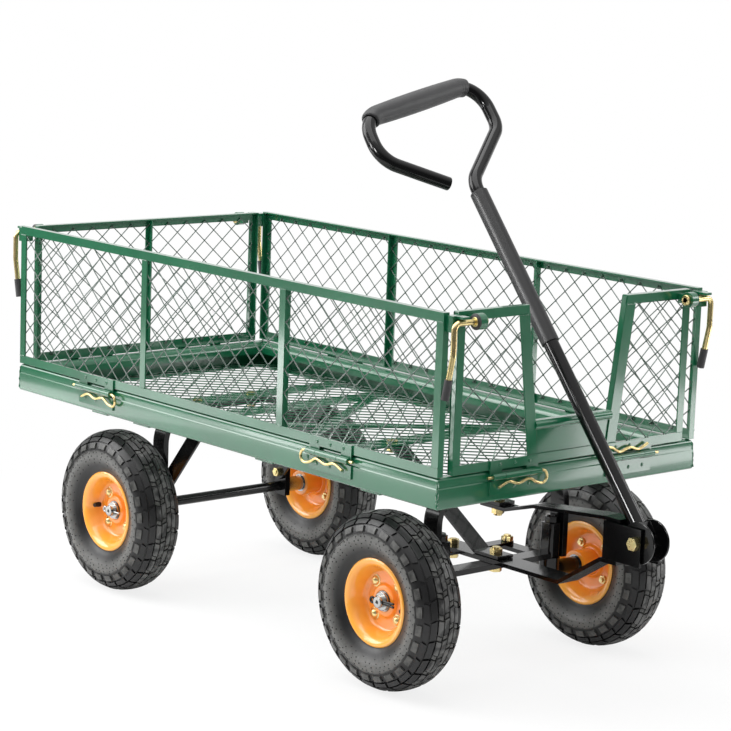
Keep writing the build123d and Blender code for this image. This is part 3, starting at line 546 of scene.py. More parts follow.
def from_axle(place):
    # distance from the wheel's own axis
    flat = place.node("ShaderNodeVectorMath", {"operation": "MULTIPLY"}, {0: place, 1: (1.0, 0.0, 1.0)})
    return flat.node("ShaderNodeVectorMath", {"operation": "LENGTH"}, {0: flat}, 1)


tyre_rubber, rubber_shader, rubber_place = new_finish("tyre_rubber")
out_from_axle = from_axle(rubber_place)
# The outer sidewall is pale with dust and fine grain and the shoulder keeps the black of the rubber. The
# slope down to the rim is kept dark as painted shade.
on_side = out_from_axle.step(base_radius - 52 * mm, base_radius - 35 * mm)
on_side = on_side * (1 - out_from_axle.step(base_radius - 28 * mm, base_radius - 25.5 * mm))
dust = rubber_place.noise(30.0, 5.0)
grain = rubber_place.noise(260.0, 3.0)
dust_and_rim_shade = on_side * (0.2 + 0.6 * dust + 0.6 * grain)
dust_and_rim_shade.blend(srgb(0.03, 0.03, 0.035), srgb(0.42, 0.42, 0.41)).feed(rubber_shader, "Base Color")
(0.3 + 0.2 * rubber_place.noise(120.0, 3.0)).feed(rubber_shader, "Roughness")
(rubber_place.noise(500.0) + 0.6 * rubber_place.noise(160.0)).bump(0.06 * mm).feed(rubber_shader, "Normal")
block_rubber, block_shader, block_place = new_finish("block_rubber")
# The tops of the blocks are painted pale in patches, as wear and as a painted highlight. Their sides keep
# the black rubber.
on_crown = from_axle(block_place).step(base_radius - 1.5 * mm, base_radius + 1.5 * mm)
wear_and_highlight = on_crown * (0.15 + 0.85 * block_place.noise(70.0, 4.0).step(0.42, 0.62))
wear_and_highlight.blend(srgb(0.045, 0.045, 0.05), srgb(0.36, 0.36, 0.355)).feed(block_shader, "Base Color")
(0.3 + 0.2 * block_place.noise(160.0, 3.0)).feed(block_shader, "Roughness")
block_place.noise(400.0).bump(0.05 * mm).feed(block_shader, "Normal")
# The lugs and the bars between the blocks are painted paler than the carcass, a painted highlight on their
# faces.
lug_highlight_rubber, lug_shader, lug_place = new_finish("lug_highlight_rubber")
lug_place.noise(120.0, 4.0).step(0.2, 0.8).blend(
    srgb(0.16, 0.16, 0.155), srgb(0.36, 0.36, 0.35)).feed(lug_shader, "Base Color")
lug_shader.inputs["Roughness"].default_value = 0.4
# Near black rubber for the valve stems and the spews. On the spews its darkness is a painted shade, as of
# pits in the sidewall.
stem_and_pit_shade_rubber, vent_shader, vent_place = new_finish("stem_and_pit_shade_rubber")
vent_place.noise(200.0).blend(
    srgb(0.03, 0.03, 0.03), srgb(0.07, 0.07, 0.07)).feed(vent_shader, "Base Color")
vent_shader.inputs["Roughness"].default_value = 0.6


def place_wheel(piece, name, body=None):
    # a piece drawn about the wheel's own axis, with +y outward, carried to its wheel
    low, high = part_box("tyre_" + name)
    middle = (low + high) / 2
    turn = 0 if middle.y > 0 else math.pi
    piece.matrix_world = Matrix.Translation(middle) @ Matrix.Rotation(turn, 4, "Z")
    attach(piece, body or "wheel_" + name)


for name in wheel_names:
    tyre = new_piece("tyre_skin_" + name, "chassis", tyre_shape, tyre_rubber, 40)
    place_wheel(tyre, name)
    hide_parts("tyre_" + name)
    for label, shapes, finish in (("blocks", tread, block_rubber), ("lugs", lugs, lug_highlight_rubber),
                                  ("vents", vents, stem_and_pit_shade_rubber)):
        rubber = new_piece(
            "tyre_%s_%s" % (label, name), "chassis", merged(shapes), finish, 40)
        place_wheel(rubber, name)

# Rims
# Two discs of sheet steel pressed to a dish with a rolled flange and a boss for the hub, sprayed orange.
# They meet at the middle of the wheel, and four bolts clamp them round the hub.


def wall_highlight_share(place, cloud):
    # the outer wall is painted paler than the deep dish: a painted highlight on the wall and painted shade
    # in the dish
    return 0.85 * from_axle(place).step(38 * mm, 53 * mm) + 0.15 * cloud


orange_paint = painted(
    "orange_enamel", srgb(0.97, 0.56, 0.15), srgb(1.0, 0.69, 0.25), 0.2, 0.03 * mm, 0.8, wall_highlight_share)
dish_radius = 42 * mm
dish_floor = 3.2 * mm
bearing_radius = 14.6 * mm
boss_top = 9.4 * mm
rim_half_line = [
    (bearing_radius, boss_top - 1.5 * mm), (bearing_radius + 0.6 * mm, boss_top), (20 * mm, boss_top),
    (22 * mm, boss_top - 1 * mm), (24.5 * mm, dish_floor + 1.2 * mm), (27.5 * mm, dish_floor),
    (dish_radius - 3 * mm, dish_floor), (dish_radius + 1.2 * mm, dish_floor + 2.4 * mm),
    (46.5 * mm, flange_half - 16 * mm), (49.6 * mm, flange_half - 9 * mm),
    (52 * mm, flange_half - 4.6 * mm), (55 * mm, flange_half - 1.8 * mm),
    (58.5 * mm, flange_half - 0.3 * mm), (flange_radius - 2.2 * mm, flange_half - 0.1 * mm),
    (flange_radius, flange_half - 1.6 * mm),
    (flange_radius - 0.4 * mm, flange_half - 3.6 * mm), (flange_radius - 4 * mm, flange_half - 4.4 * mm),
    (55.5 * mm, flange_half - 6 * mm), (53.2 * mm, flange_half - 10 * mm), (52.3 * mm, 0)]
rim_profile = [tuple(p) for p in smooth_line(rim_half_line, 3)]
rim_profile += [(r, -y) for r, y in rim_profile[::-1][1:]]
rim_shape = spun(rim_profile, 96)
for name in wheel_names:
    rim = new_piece("rim_disc_" + name, "chassis", rim_shape, orange_paint, 50)
    place_wheel(rim, name)
    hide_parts("rim_" + name)

# Hubs
# A steel tube pressed through both discs, longer on the inside, with a roller bearing at each end.
# Four domed bolts clamp the discs, a rubber valve stem stands in a hole of the outer dish, and a
# split pin through the zinc-plated axle end keeps the wheel on.
hub_low, hub_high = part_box("hub_front_left")
wheel_middle = (tyre_low.y + tyre_high.y) / 2
hub_outer = hub_high.y - wheel_middle
hub_inner = wheel_middle - hub_low.y
bolt_circle = 33.5 * mm


def closed_spin(profile, steps):
    return spun(list(profile) + [profile[0]], steps)


def moved(shape, x, z):
    points, faces = shape
    return [(p[0] + x, p[1], p[2] + z) for p in points], faces


def mirrored(shape):
    points, faces = shape
    return [(p[0], -p[1], p[2]) for p in points], [face[::-1] for face in faces]


def bearing_end(reach):
    # the bearing's face: inner ring, sunk seal and bright outer ring
    line = [
        (8.2, 14), (8.2, 0.7), (10.4, 0.6), (10.8, 1.5), (12.4, 1.5), (12.8, 0.5), (14.4, 0.4), (14.5, 14)]
    return closed_spin([(r * mm, reach - y * mm) for r, y in line], 48)


hub_shape = merged([bearing_end(hub_outer), mirrored(bearing_end(hub_inner))])
sleeve_line = [
    (17, 5), (20.2, 5.2), (20.6, 6), (20.6, 38), (20.2, 40.6), (18.6, 40.8), (14.7, 40.4), (14.7, 30)]
hub_sleeve = mirrored(closed_spin([(r * mm, y * mm) for r, y in sleeve_line], 48))
dome = [(0.01, 5), (2.6, 4.8), (4.8, 3.9), (6.4, 2.2), (7, 0.5), (9, 0.2), (9.2, -0.8)]
dome = [(r * mm, y * mm + dish_floor) for r, y in dome]
nut = [(0.01, -6), (3.6, -6), (4, -2.5), (6.6, -2.4), (7.4, 0)]
nut = [(r * mm, y * mm - dish_floor) for r, y in nut]
bolt_shapes = []
for k in range(4):
    angle = math.radians(45 + 90 * k)
    spot = (bolt_circle * math.cos(angle), bolt_circle * math.sin(angle))
    bolt_shapes.append(moved(spun(dome[::-1], 24), *spot))
    bolt_shapes.append(moved(spun(nut[::-1], 6), *spot))
stem_line = [(45.6, 6), (44.8, 11), (44.2, 15), (44, 17)]
stem_path = [(r * mm, y * mm, 0) for r, y in stem_line]
stem_shape = merged([
    tube(stem_path[:3], [4.4 * mm, 3.8 * mm, 3 * mm], 14), tube(stem_path[2:], [3.4 * mm, 3 * mm], 14)])
stem_turns = {"front_left": 200, "front_right": 175, "rear_left": 250, "rear_right": 0}
end_line = [
    (13.1, 0.3), (13.1, 3.0), (12.4, 3.6), (8.3, 3.6), (8.3, 10.2), (7.4, 11.2), (3, 11.4), (2.2, 10.4),
    (0.01, 10.4)]
axle_end_shape = spun([(r * mm, hub_outer + y * mm) for r, y in end_line], 36)
axle_bodies = {"front_left": "knuckle_left", "front_right": "knuckle_right", "rear_left": "chassis",
               "rear_right": "chassis"}
for name in wheel_names:
    axle_end = new_piece("axle_end_" + name, "chassis", axle_end_shape, zinc_steel)
    place_wheel(axle_end, name, axle_bodies[name])
    ahead = 1 if name.endswith("left") else -1
    reach = (4, 13, 22, 30) if name.startswith("front") else (4, 9, 13, 17)
    legs = []
    for rise in (-1.9, 1.9):
        spread = [(x, rise * (0.8 + x / 90) + 1) for x in reach]
        run = [Vector((ahead * x * mm, hub_outer + 7 * mm, z * mm)) for x, z in spread]
        legs.append(tube(run, 1.8 * mm, 12))
    pin_legs = new_piece("split_pin_legs_" + name, "chassis", merged(legs), black_paint)
    place_wheel(pin_legs, name, axle_bodies[name])
    hub = new_piece("hub_bearings_" + name, "chassis", hub_shape, zinc_steel)
    place_wheel(hub, name)
    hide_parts("hub_" + name)
    sleeve = new_piece("hub_tube_" + name, "chassis", hub_sleeve, orange_paint)
    place_wheel(sleeve, name)
    bolts = new_piece("rim_bolts_" + name, "chassis", merged(bolt_shapes), yellow_zinc)
    place_wheel(bolts, name)
    turn = Matrix.Rotation(math.radians(stem_turns[name]), 3, "Y")
    turned_stem = ([turn @ Vector(p) for p in stem_shape[0]], stem_shape[1])
    stem = new_piece("valve_stem_" + name, "chassis", turned_stem, stem_and_pit_shade_rubber)
    place_wheel(stem, name)

# Panel frames
# Light angle iron cut to length, its joints welded and ground, and dipped with the bed.
# The face leg shows outside and the other leg stands inward behind the mesh. The plate between the
# front posts is rolled over to a round sill at its top.
for side in ("right", "left", "rear", "front"):
    soften(side + "_panel_frame", green_paint, 0.6 * mm)
soften("front_plate", green_paint, 0.6 * mm)
panel_low, panel_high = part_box("right_panel_frame")
bed_middle = (rim_low.x + rim_high.x) / 2
rail_face = 13 * mm
upright_out = 171.5 * mm
upright_in = upright_out - rail_face
end_out = (panel_high.x - panel_low.x) / 2
seams = {"side_right": [], "side_left": [], "chassis": []}
for z in (panel_low.z + rail_face, panel_high.z - rail_face):
    for body, face in (("side_right", panel_low.y), ("side_left", -panel_low.y)):
        for inner, outer in ((upright_in, upright_out), (end_out - rail_face, end_out)):
            for way in (1, -1):
                start = (bed_middle + way * inner, face, z)
                end = (bed_middle + way * outer, face, z)
                seams[body].append(weld_bead(start, end, 0.9 * mm))
front_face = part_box("front_panel_frame")[1].x
for way in (1, -1):
    for y0, y1, z in ((93.5, 112, panel_high.z - rail_face), (67, 85, panel_low.z + rail_face)):
        start = (front_face, way * y0 * mm, z)
        end = (front_face, way * y1 * mm, z)
        seams["chassis"].append(weld_bead(start, end, 1.2 * mm))
for body, shapes in seams.items():
    new_piece("frame_welds_" + body, body, merged(shapes), green_paint)
sill_roll = 6.5 * mm
sill_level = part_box("front_plate")[1].z - sill_roll
sill_ends = [Vector((front_face - sill_roll + 3 * mm, y * mm, sill_level)) for y in (-74, -60, 60, 74)]
new_piece("rolled_sill", "chassis", tube(sill_ends, sill_roll, 20), green_paint)

# Panel mesh
# Straight wires in two crossing layers, spot welded where they touch and onto the back of the frame.
# The dip leaves a drop at each weld and a thick lump at each wire's end.
wire_paint = painted(
    "wire_enamel", srgb(0.17, 0.27, 0.22), srgb(0.25, 0.35, 0.30), 0.1, 0.01 * mm, 1.0)
wire_radius = 0.85 * mm
mesh_u = 38 * mm
mesh_v = 33.5 * mm
most_columns = 60


def clip_line(start, way, corners):
    # the stretch of a line inside a convex outline that runs anticlockwise, or None
    first, last = -9.0, 9.0
    for a, b in zip(corners, corners[1:] + corners[:1]):
        edge = Vector(b) - Vector(a)
        inward = Vector((-edge.y, edge.x))
        rate = inward.dot(way)
        room = inward.dot(start - Vector(a))
        if abs(rate) < 1e-12:
            if room < 0:
                return None
        elif rate > 0:
            first = max(first, -room / rate)
        else:
            last = min(last, -room / rate)
    if last - first < 4 * mm:
        return None
    return start + way * first, start + way * last


def lump(spot, radii, rings=4, sides=6):
    points = [(spot[0], spot[1], spot[2] - radii[2])]
    faces = []
    for i in range(1, rings):
        fall = math.pi * i / rings
        for k in range(sides):
            turn = 2 * math.pi * k / sides
            points.append((
                spot[0] + radii[0] * math.sin(fall) * math.cos(turn),
                spot[1] + radii[1] * math.sin(fall) * math.sin(turn),
                spot[2] - radii[2] * math.cos(fall)))
    points.append((spot[0], spot[1], spot[2] + radii[2]))
    top = len(points) - 1
    for k in range(sides):
        n = (k + 1) % sides
        faces.append([0, 1 + n, 1 + k])
        for i in range(rings - 2):
            row = 1 + i * sides
            faces.append([row + k, row + n, row + sides + n, row + sides + k])
        row = 1 + (rings - 2) * sides
        faces.append([row + k, row + n, top])
    return points, faces


def wire_bay(corners, spot, start_u, start_v):
    # every wire of one bay; spot(u, v, depth) gives the place in the frame
    wide = max(c[0] for c in corners)
    tall = max(c[1] for c in corners) - min(c[1] for c in corners)
    least = min(c[0] for c in corners)
    shapes = []
    for slope, depth in ((1, -0.8 * mm), (-1, 0.8 * mm)):
        way = Vector((slope * mesh_u, mesh_v)).normalized()
        reach = tall * mesh_u / mesh_v
        count = math.ceil((wide - least + 2 * reach) / mesh_u)
        for i in range(-count, count + 1):
            held = clip_line(Vector((start_u + i * mesh_u, start_v)), way, corners)
            if held is None:
                continue
            ends = [spot(p.x, p.y, depth) for p in held]
            shapes.append(tube(ends, wire_radius, 6))
            for end in ends:
                shapes.append(lump(end, [dice.uniform(1.3, 1.9) * mm for axis in range(3)]))
    rows = math.ceil(tall / mesh_v) + 1
    outline = [Vector(c) for c in corners]
    for j in range(-2 * rows, 2 * rows):
        for i in range(-most_columns, most_columns):
            u = start_u + (i + (j % 2) / 2) * mesh_u
            v = start_v + j * mesh_v / 2
            inside = True
            for a, b in zip(outline, outline[1:] + outline[:1]):
                edge = b - a
                inside = inside and (Vector((u, v)) - a).dot(Vector((-edge.y, edge.x))) > 0
            if inside:
                shapes.append(lump(spot(u, v, 0), [1.5 * mm] * 3, 3, 6))
    return shapes


post_leg = 2 * mm
rail = 9 * mm
# the wires end this far inside the edge of the net's box, just past the edge of the frame
short = 7 * mm
for side, sign in (("right", -1), ("left", 1)):
    low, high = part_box(side + "_panel_mesh")
    middle = (low.x + high.x) / 2
    level = (low.y + high.y) / 2
    bays = [
        (low.x + short, middle - upright_out),
        (middle - upright_out + post_leg, middle + upright_out - post_leg),
        (middle + upright_out, high.x - short)]
    shapes = []
    for u0, u1 in bays:
        corners = [
            (u0, low.z + short), (u1, low.z + short), (u1, high.z - short), (u0, high.z - short)]
        shapes += wire_bay(
            corners, lambda u, v, depth: (u, level + sign * depth, v), middle, low.z + rail)
    net = new_piece(side + "_wire_mesh", "side_" + side, merged(shapes), wire_paint, 60)
    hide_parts(side + "_panel_mesh")
for end, body in (("rear", "tailgate"), ("front", "chassis")):
    low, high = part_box(end + "_panel_mesh")
    level = (low.x + high.x) / 2
    sign = 1 if end == "front" else -1
    shapes = []
    for way in (1, -1):
        inner_low = 1 * mm if end == "rear" else 67.3 * mm
        inner_high = 1 * mm if end == "rear" else 96.7 * mm
        corners = [
            (inner_low, low.z + short), (high.y - short, low.z + short),
            (high.y - short, high.z - short), (inner_high, high.z - short)]
        shapes += wire_bay(
            corners, lambda u, v, depth: (level + sign * depth, way * u, v), 0, low.z + rail)
    net = new_piece(end + "_wire_mesh", body, merged(shapes), wire_paint, 60)
    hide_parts(end + "_panel_mesh")

# Hinges
# Strap leaves stamped from sheet with a rolled barrel, spot welded to the bed and to the panels.
# A spring clip of round wire with yellow zinc is the pin: one straight leg, one wavy leg.
for leaf in ("tray_hinge_leaves", "right_panel_fittings", "left_panel_fittings", "rear_panel_fittings",
             "front_panel_fittings"):
    soften(leaf, green_paint, 0.5 * mm)
leaves_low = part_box("tray_hinge_leaves")[0]
bed_row = leaves_low.z + 9.5 * mm
panel_row = panel_low.z + 6.5 * mm
leaf_sheet = 2.5 * mm
side_hinge = 282 * mm
end_hinge = 112 * mm
side_dimple = (3 * mm, 1 * mm, 3 * mm)
end_dimple = (1 * mm, 3 * mm, 3 * mm)
stamps = {"chassis": [], "side_right": [], "side_left": [], "tailgate": []}
for spot in (-28 * mm, 0, 28 * mm):
    for way, body in ((-1, "side_right"), (1, "side_left")):
        face = way * (rim_high.y + leaf_sheet)
        for x in (bed_middle - side_hinge + spot, bed_middle + side_hinge + spot):
            stamps["chassis"].append(lump((x, face, bed_row), side_dimple, 6, 12))
            stamps[body].append(lump((x, face, panel_row), side_dimple, 6, 12))
    for face, body in ((rim_low.x - leaf_sheet, "tailgate"), (rim_high.x + leaf_sheet, "chassis")):
        for y in (spot - end_hinge, spot + end_hinge):
            stamps["chassis"].append(lump((face, y, bed_row), end_dimple, 6, 12))
            stamps[body].append(lump((face, y, panel_row), end_dimple, 6, 12))
for body, shapes in stamps.items():
    new_piece("hinge_stamps_" + body, body, merged(shapes), green_paint)
pin_radius = 2 * mm
hinge_level = rim_high.z - 7 * mm
hinge_out = 7 * mm


def hinge_clip(middle, along, rise):
    # one wire: the straight pin with a free end, the round turn and the wavy leg
    line = [(-54, 0)] + arc((49, -9), 9, 90, -90, 10)
    wave = [(49, -18), (38, -15.4), (24, -8.5), (4, -13), (-14, -8.5), (-32, -15)]
    line += [tuple(p) for p in smooth_line(wave, 5)][1:]
    return tube([middle + along * h * mm + Vector((0, 0, rise * v * mm)) for h, v in line], pin_radius, 12)


clips = []
for way in (1, -1):
    side_y = way * (rim_high.y + hinge_out)
    for x, turn in ((bed_middle - side_hinge, 1), (bed_middle + side_hinge, -1)):
        clips.append(hinge_clip(Vector((x, side_y, hinge_level)), Vector((turn, 0, 0)), 1))
    front_spot = Vector((rim_high.x + hinge_out, -way * end_hinge, hinge_level))
    clips.append(hinge_clip(front_spot, Vector((0, way, 0)), way))
    rear_spot = Vector((rim_low.x - hinge_out, way * end_hinge, hinge_level))
    clips.append(hinge_clip(rear_spot, Vector((0, -way, 0)), 1))
clip_piece = new_piece("spring_clips", "chassis", merged(clips), yellow_zinc, 60)
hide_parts("hinge_clips")

# Latches
# A yellow-zinc rod that turns in a ring eye at the top of each end panel and ends in a cranked lever.
# A dipped vinyl cap covers the lever's tip.
black_vinyl, vinyl_shader, vinyl_place = new_finish("black_vinyl")
vinyl_place.noise(80.0, 3.0).blend(
    srgb(0.16, 0.16, 0.165), srgb(0.26, 0.26, 0.265)).feed(vinyl_shader, "Base Color")
(0.42 + 0.2 * vinyl_place.noise(300.0)).feed(vinyl_shader, "Roughness")
vinyl_place.noise(500.0).bump(0.1 * mm).feed(vinyl_shader, "Normal")
rod_radius = 4 * mm
head_radius = 7.5 * mm
lever_length = 100 * mm
crank_drop = 42 * mm
crank_lean = 12 * mm


def bend_points(before, corner, after, radius, first, last, steps=14):
    # part of the round bend between two straight runs, from share first to share last
    one = (before - corner).normalized()
    two = (after - corner).normalized()
    half = one.angle(two) / 2
    centre = corner + (one + two).normalized() * radius / math.sin(half)
    start = corner + one * radius / math.tan(half) - centre
    end = corner + two * radius / math.tan(half) - centre
    shares = [first + (last - first) * i / steps for i in range(steps + 1)]
    spin = start.cross(end).normalized()
    angle = start.angle(end)
    return centre, [centre + Matrix.Rotation(angle * t, 3, spin) @ start for t in shares]


def rounded_line(corners, radii):
    # a line of points whose inner corners are round
    line = [corners[0]]
    for before, corner, after, radius in zip(corners, corners[1:], corners[2:], radii):
        line += bend_points(before, corner, after, radius, 0, 1)[1]
    return line + [corners[-1]]


for corner, body in (("front_right", "chassis"), ("front_left", "chassis"), ("rear_right", "tailgate"),
                     ("rear_left", "tailgate")):
    low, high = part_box("latch_rod_" + corner)
    out_x = 1 if corner.startswith("front") else -1
    out_y = 1 if corner.endswith("left") else -1
    axis_x = high.x - head_radius if out_x > 0 else low.x + head_radius
    lever_y = high.y - rod_radius if out_y > 0 else low.y + rod_radius
    head_y = low.y if out_y > 0 else high.y
    eye = Vector((axis_x, head_y, high.z - head_radius))
    knee = Vector((axis_x, lever_y, eye.z))
    bend = knee - Vector((0, 0, crank_drop))
    foot = knee - Vector((out_x * crank_lean, 0, lever_length))
    outward = Vector((0, out_y, 0))
    head = [eye, eye + outward * 0.8 * mm, eye + outward * 3.4 * mm, eye + outward * 4.2 * mm]
    collar = [eye + outward * y * mm for y in (16.8, 17.4, 19.2, 19.8)]
    ring = [eye + outward * y * mm for y in (16.2, 17.6, 18.2)]
    rod = merged([
        tube(rounded_line([eye, knee, bend, foot], [9 * mm, 25 * mm]), rod_radius, 24),
        tube(head, [6.7 * mm, head_radius, head_radius, 6.7 * mm], 24),
        tube(collar, [5.9 * mm, 6.5 * mm, 6.5 * mm, 5.9 * mm], 24)])
    lever = new_piece("latch_lever_" + corner, "latch_" + corner, rod, yellow_zinc)
    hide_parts("latch_rod_" + corner)
    # A dark vinyl ring on the eye's face round the rod, a painted shade for the eye's bore.
    shade_ring = tube(ring, [10.9 * mm, 10.9 * mm, 9.8 * mm], 32)
    new_piece("latch_shade_ring_" + corner, body, shade_ring, black_vinyl)
    soften("latch_tip_" + corner, black_vinyl, 0.6 * mm)

# Handle
# A black enamelled steel tube, flattened into a yoke between two cheek discs and bent to a loop on top.
# A plastic sleeve covers the joint of shaft and loop.
soften("handle_shaft", black_paint, 0.5 * mm)
soften("handle_loop", black_paint, 0.5 * mm)
sleeve_plastic, sleeve_shader, sleeve_place = new_finish("sleeve_plastic")
sleeve_place.noise(60.0, 3.0).blend(
    srgb(0.08, 0.08, 0.085), srgb(0.11, 0.11, 0.115)).feed(sleeve_shader, "Base Color")
(0.34 + 0.06 * sleeve_place.noise(200.0)).feed(sleeve_shader, "Roughness")
sleeve_place.noise(140.0).bump(0.03 * mm).feed(sleeve_shader, "Normal")
soften("handle_sleeve", sleeve_plastic, 0.6 * mm)

# Grip
# A foam tube pushed over the top run of the loop and a little into both bends: a crowned soft body
# with a fine skin, wrinkled inside the tight bend, its ends open round the steel tube.
grip_foam, foam_shader, foam_place = new_finish("grip_foam")
foam_place.noise(70.0, 4.0).blend(
    srgb(0.17, 0.17, 0.175), srgb(0.24, 0.24, 0.245)).feed(foam_shader, "Base Color")
(0.4 + 0.15 * foam_place.noise(300.0)).feed(foam_shader, "Roughness")
foam_place.noise(1200.0).bump(0.2 * mm).feed(foam_shader, "Normal")
clevis_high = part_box("tongue_clevis")[1]
handle_foot = Vector((clevis_high.x - 9 * mm, 0, clevis_high.z - 20 * mm))
lean = math.radians(39.3)
shaft_way = Vector((-math.sin(lean), 0, math.cos(lean)))
handle_length = 562 * mm


def on_handle(a, s):
    return handle_foot + Vector((0, a * mm, 0)) + shaft_way * (handle_length + s * mm)


tight_centre, tight_bend = bend_points(
    on_handle(97, 108), on_handle(97, 189), on_handle(-150, 128), 38 * mm, 0.72, 1)
wide_bend = bend_points(
    on_handle(97, 189), on_handle(-150, 128), on_handle(-153, 61), 40 * mm, 0, 0.4)[1]
run_steps = 60
top_run = [tight_bend[-1].lerp(wide_bend[0], i / run_steps) for i in range(1, run_steps)]
grip_path = tight_bend + top_run + wide_bend
grip_sides = 40
grip_end_radius = 13.4 * mm
grip_crown = 2.2 * mm
end_rounding = 1.6 * mm
end_reach = 3 * mm
wrinkle_pitch = 6.5 * mm
wrinkle_reach = 42 * mm
wrinkle_depth = 0.55 * mm
grip_run = [0.0]
for before, after in zip(grip_path, grip_path[1:]):
    grip_run.append(grip_run[-1] + (after - before).length)
across = Vector((math.cos(lean), 0, math.sin(lean)))
grip_points = []
for i, spot in enumerate(grip_path):
    way = (grip_path[min(i + 1, len(grip_path) - 1)] - grip_path[max(i - 1, 0)]).normalized()
    inward = way.cross(across)
    share = grip_run[i] / grip_run[-1]
    from_end = min(grip_run[i], grip_run[-1] - grip_run[i])
    radius = grip_end_radius + grip_crown * math.sin(math.pi * share) ** 0.8
    radius -= end_rounding * max(0, 1 - from_end / end_reach) ** 2
    wave = math.sin(2 * math.pi * grip_run[i] / wrinkle_pitch) * max(0, 1 - grip_run[i] / wrinkle_reach)
    for k in range(grip_sides):
        angle = 2 * math.pi * k / grip_sides
        side = math.cos(angle)
        inside = side if inward.dot(tight_centre - spot) > 0 else -side
        fold = wrinkle_depth * wave * max(0, inside)
        grip_points.append(spot + (inward * side + across * math.sin(angle)) * (radius + fold))
grip_faces = []
rings = len(grip_path)
for i in range(rings - 1):
    for k in range(grip_sides):
        n = (k + 1) % grip_sides
        row = i * grip_sides
        grip_faces.append([row + k, row + n, row + grip_sides + n, row + grip_sides + k])
for ring, inner_ring in ((0, 3), (rings - 1, rings - 4)):
    # the end face and the mouth of the bore, which hugs the steel tube further in
    mouth = len(grip_points)
    for share, at in ((0.89, ring), (0.75, inner_ring)):
        for k in range(grip_sides):
            rim_point = grip_points[at * grip_sides + k]
            grip_points.append(grip_path[at].lerp(rim_point, share))
    for row, below in ((ring * grip_sides, mouth), (mouth, mouth + grip_sides)):
        for k in range(grip_sides):
            n = (k + 1) % grip_sides
            face = [row + k, below + k, below + n, row + n]
            grip_faces.append(face if ring == 0 else face[::-1])
grip = new_piece("foam_grip", "handle", (grip_points, grip_faces), grip_foam, 60)
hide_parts("handle_grip")

# Studio
# A white table top in a white room that is dim behind the camera. A wide soft box hangs overhead, a key
# stands on the left and a fill on the right, low ones show in the bed's upright faces, and two that
# only the handle's tubes see draw the long lights on them.
view = bpy.context.scene.view_settings
view.view_transform = "Standard"
table_half = 1.15
shadow_reach = 0.75
ground = bpy.data.meshes.new("ground")
ground.from_pydata(
    [(-table_half, -table_half, 0), (table_half, -table_half, 0), (table_half, table_half, 0),
     (-table_half, table_half, 0)], [], [[0, 1, 2, 3]])
table_top = bpy.data.objects.new("table_top", ground)
table_top.location.z = cad_low.z
bpy.context.scene.collection.objects.link(table_top)


def seen_directly(tree):
    # 1 on what the camera sees, also through glass
    path = tree.nodes.new("ShaderNodeLightPath")
    seen = Signal(path.outputs["Is Camera Ray"]) + Signal(path.outputs["Is Transmission Ray"])
    return seen.node("ShaderNodeClamp", {}, {"Value": seen})


paper, paper_shader, paper_place = new_finish("white_paper")
paper_shader.inputs["Base Color"].default_value = (0.95, 0.95, 0.95, 1)
paper_shader.inputs["Roughness"].default_value = 0.9
from_middle = paper_place.node("ShaderNodeVectorMath", {"operation": "LENGTH"}, {0: paper_place}, 1)
fade = from_middle.step(shadow_reach, table_half)
plain = (0.82 + 0.18 * fade) * seen_directly(paper.node_tree)
glow = paper_place.node("ShaderNodeEmission", {}, {"Strength": 1.0})
paper_lit = Signal(paper_shader.outputs[0])
paper_seen = plain.node("ShaderNodeMixShader", {}, {0: plain, 1: paper_lit, 2: glow})
paper_seen.feed(paper.node_tree.nodes["Material Output"], "Surface")
ground.materials.append(paper)

world = bpy.data.worlds.new("studio")
bpy.context.scene.world = world
world.use_nodes = True
air = world.node_tree
ambient = 0.52
dim = 0.15
sky = Signal(air.nodes.new("ShaderNodeTexCoord").outputs["Generated"])
above = sky.node("ShaderNodeSeparateXYZ", {}, {"Vector": sky}, 2)
behind = sky.node("ShaderNodeVectorMath", {"operation": "DOT_PRODUCT"}, {0: sky, 1: (-0.74, 0.67, 0)}, 1)
bright = 1 - (1 - above.step(0.2, 0.8)) * (1 - behind.step(0.35, 0.85))
mirrored_room = dim + (1 - dim) * bright
path = air.nodes.new("ShaderNodeLightPath")
in_mirror = Signal(path.outputs["Is Glossy Ray"])
straight = seen_directly(air)
room = ambient * (1 - in_mirror) + in_mirror * mirrored_room
(straight + (1 - straight) * room).feed(air.nodes["Background"], "Strength")
air.nodes["Background"].inputs["Color"].default_value = (1, 1, 1, 1)


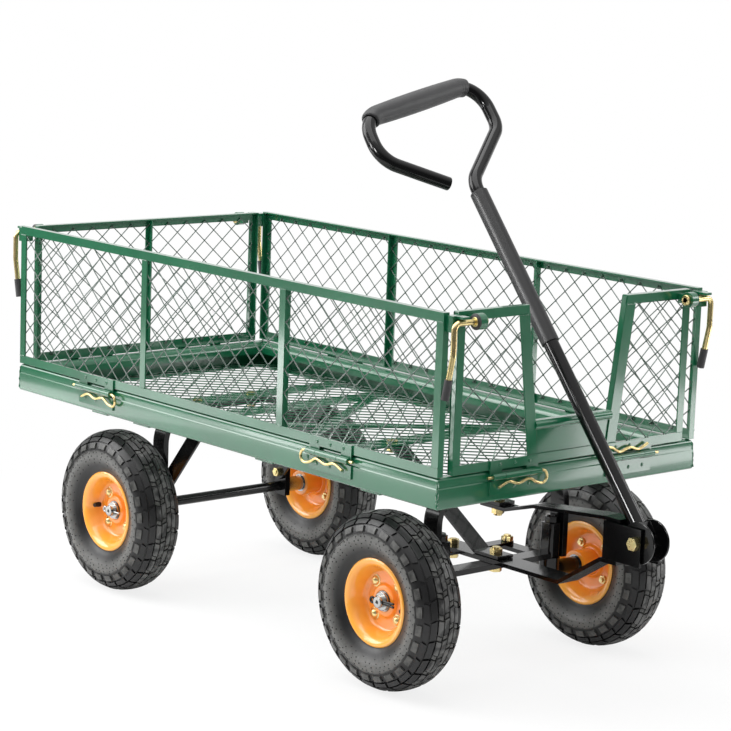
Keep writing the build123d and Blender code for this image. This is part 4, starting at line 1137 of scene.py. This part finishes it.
def soft_box(name, spot, aim, wide, tall, power, diffuse=True, only_on=()):
    lamp = bpy.data.lights.new(name, "AREA")
    lamp.shape = "RECTANGLE"
    lamp.size = wide
    lamp.size_y = tall
    lamp.energy = power
    holder = bpy.data.objects.new(name, lamp)
    holder.matrix_world = Matrix.Translation(Vector(spot)) @ (
        Vector(spot) - Vector(aim)).to_track_quat("Z", "Y").to_matrix().to_4x4()
    holder.visible_diffuse = diffuse
    bpy.context.scene.collection.objects.link(holder)
    if only_on:
        lit = bpy.data.collections.new(name + "_lights")
        for node in only_on:
            lit.objects.link(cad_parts[node])
        holder.light_linking.receiver_collection = lit


handle_tubes = ("handle_shaft", "handle_sleeve", "handle_loop")
soft_box("overhead", (-0.2, -0.5, 3.0), (0, 0, 0.3), 3.0, 3.0, 70)
soft_box("key", (-2.3, -2.1, 1.9), (0, 0, 0.3), 2.3, 2.3, 90)
soft_box("left_low", (-1.9, -1.75, -0.62), (0, -0.1, 0), 2.2, 0.9, 20)
soft_box("left_rear_strip", (-2.15, -1.78, -0.08), (0, -0.25, 0.35), 0.45, 0.2, 0.9, diffuse=False)
soft_box("left_front_strip", (-1.96, -2.07, -0.07), (0, -0.25, 0.35), 0.36, 0.18, 1.7, diffuse=False)
soft_box("left_mid", (-0.55, -2.33, 0.98), (0.35, 0, 0.5), 0.5, 0.7, 26, False, handle_tubes)
soft_box("front_mid", (0.6, -2.33, 1.0), (0.6, 0, 0.25), 0.35, 0.5, 26, False, handle_tubes)
soft_box("right_low", (1.5, 1.95, -0.42), (0.3, 0.1, 0), 1.2, 0.9, 20)
soft_box("right_high", (1.4, 2.05, 1.3), (0, 0, 0.6), 0.9, 0.9, 15)

camera_spot = Vector((2.83954, -2.48088, 1.05348))
azimuth, elevation, roll = (math.radians(a) for a in (48.99, 9.93, 2.07))
focal = 2552.8
picture = 731
back = Vector((
    math.sin(azimuth) * math.cos(elevation), -math.cos(azimuth) * math.cos(elevation), math.sin(elevation)))
right = Vector((0, 0, 1)).cross(back).normalized()
up = back.cross(right)
turned_right = right * math.cos(roll) + up * math.sin(roll)
turned_up = up * math.cos(roll) - right * math.sin(roll)
lens = bpy.data.cameras.new("camera")
lens.sensor_width = 36
lens.lens = focal / picture * lens.sensor_width
camera = bpy.data.objects.new("camera", lens)
axes = Matrix((turned_right, turned_up, back)).transposed()
camera.matrix_world = Matrix.Translation(camera_spot) @ axes.to_4x4()
bpy.context.scene.collection.objects.link(camera)
bpy.context.scene.camera = camera
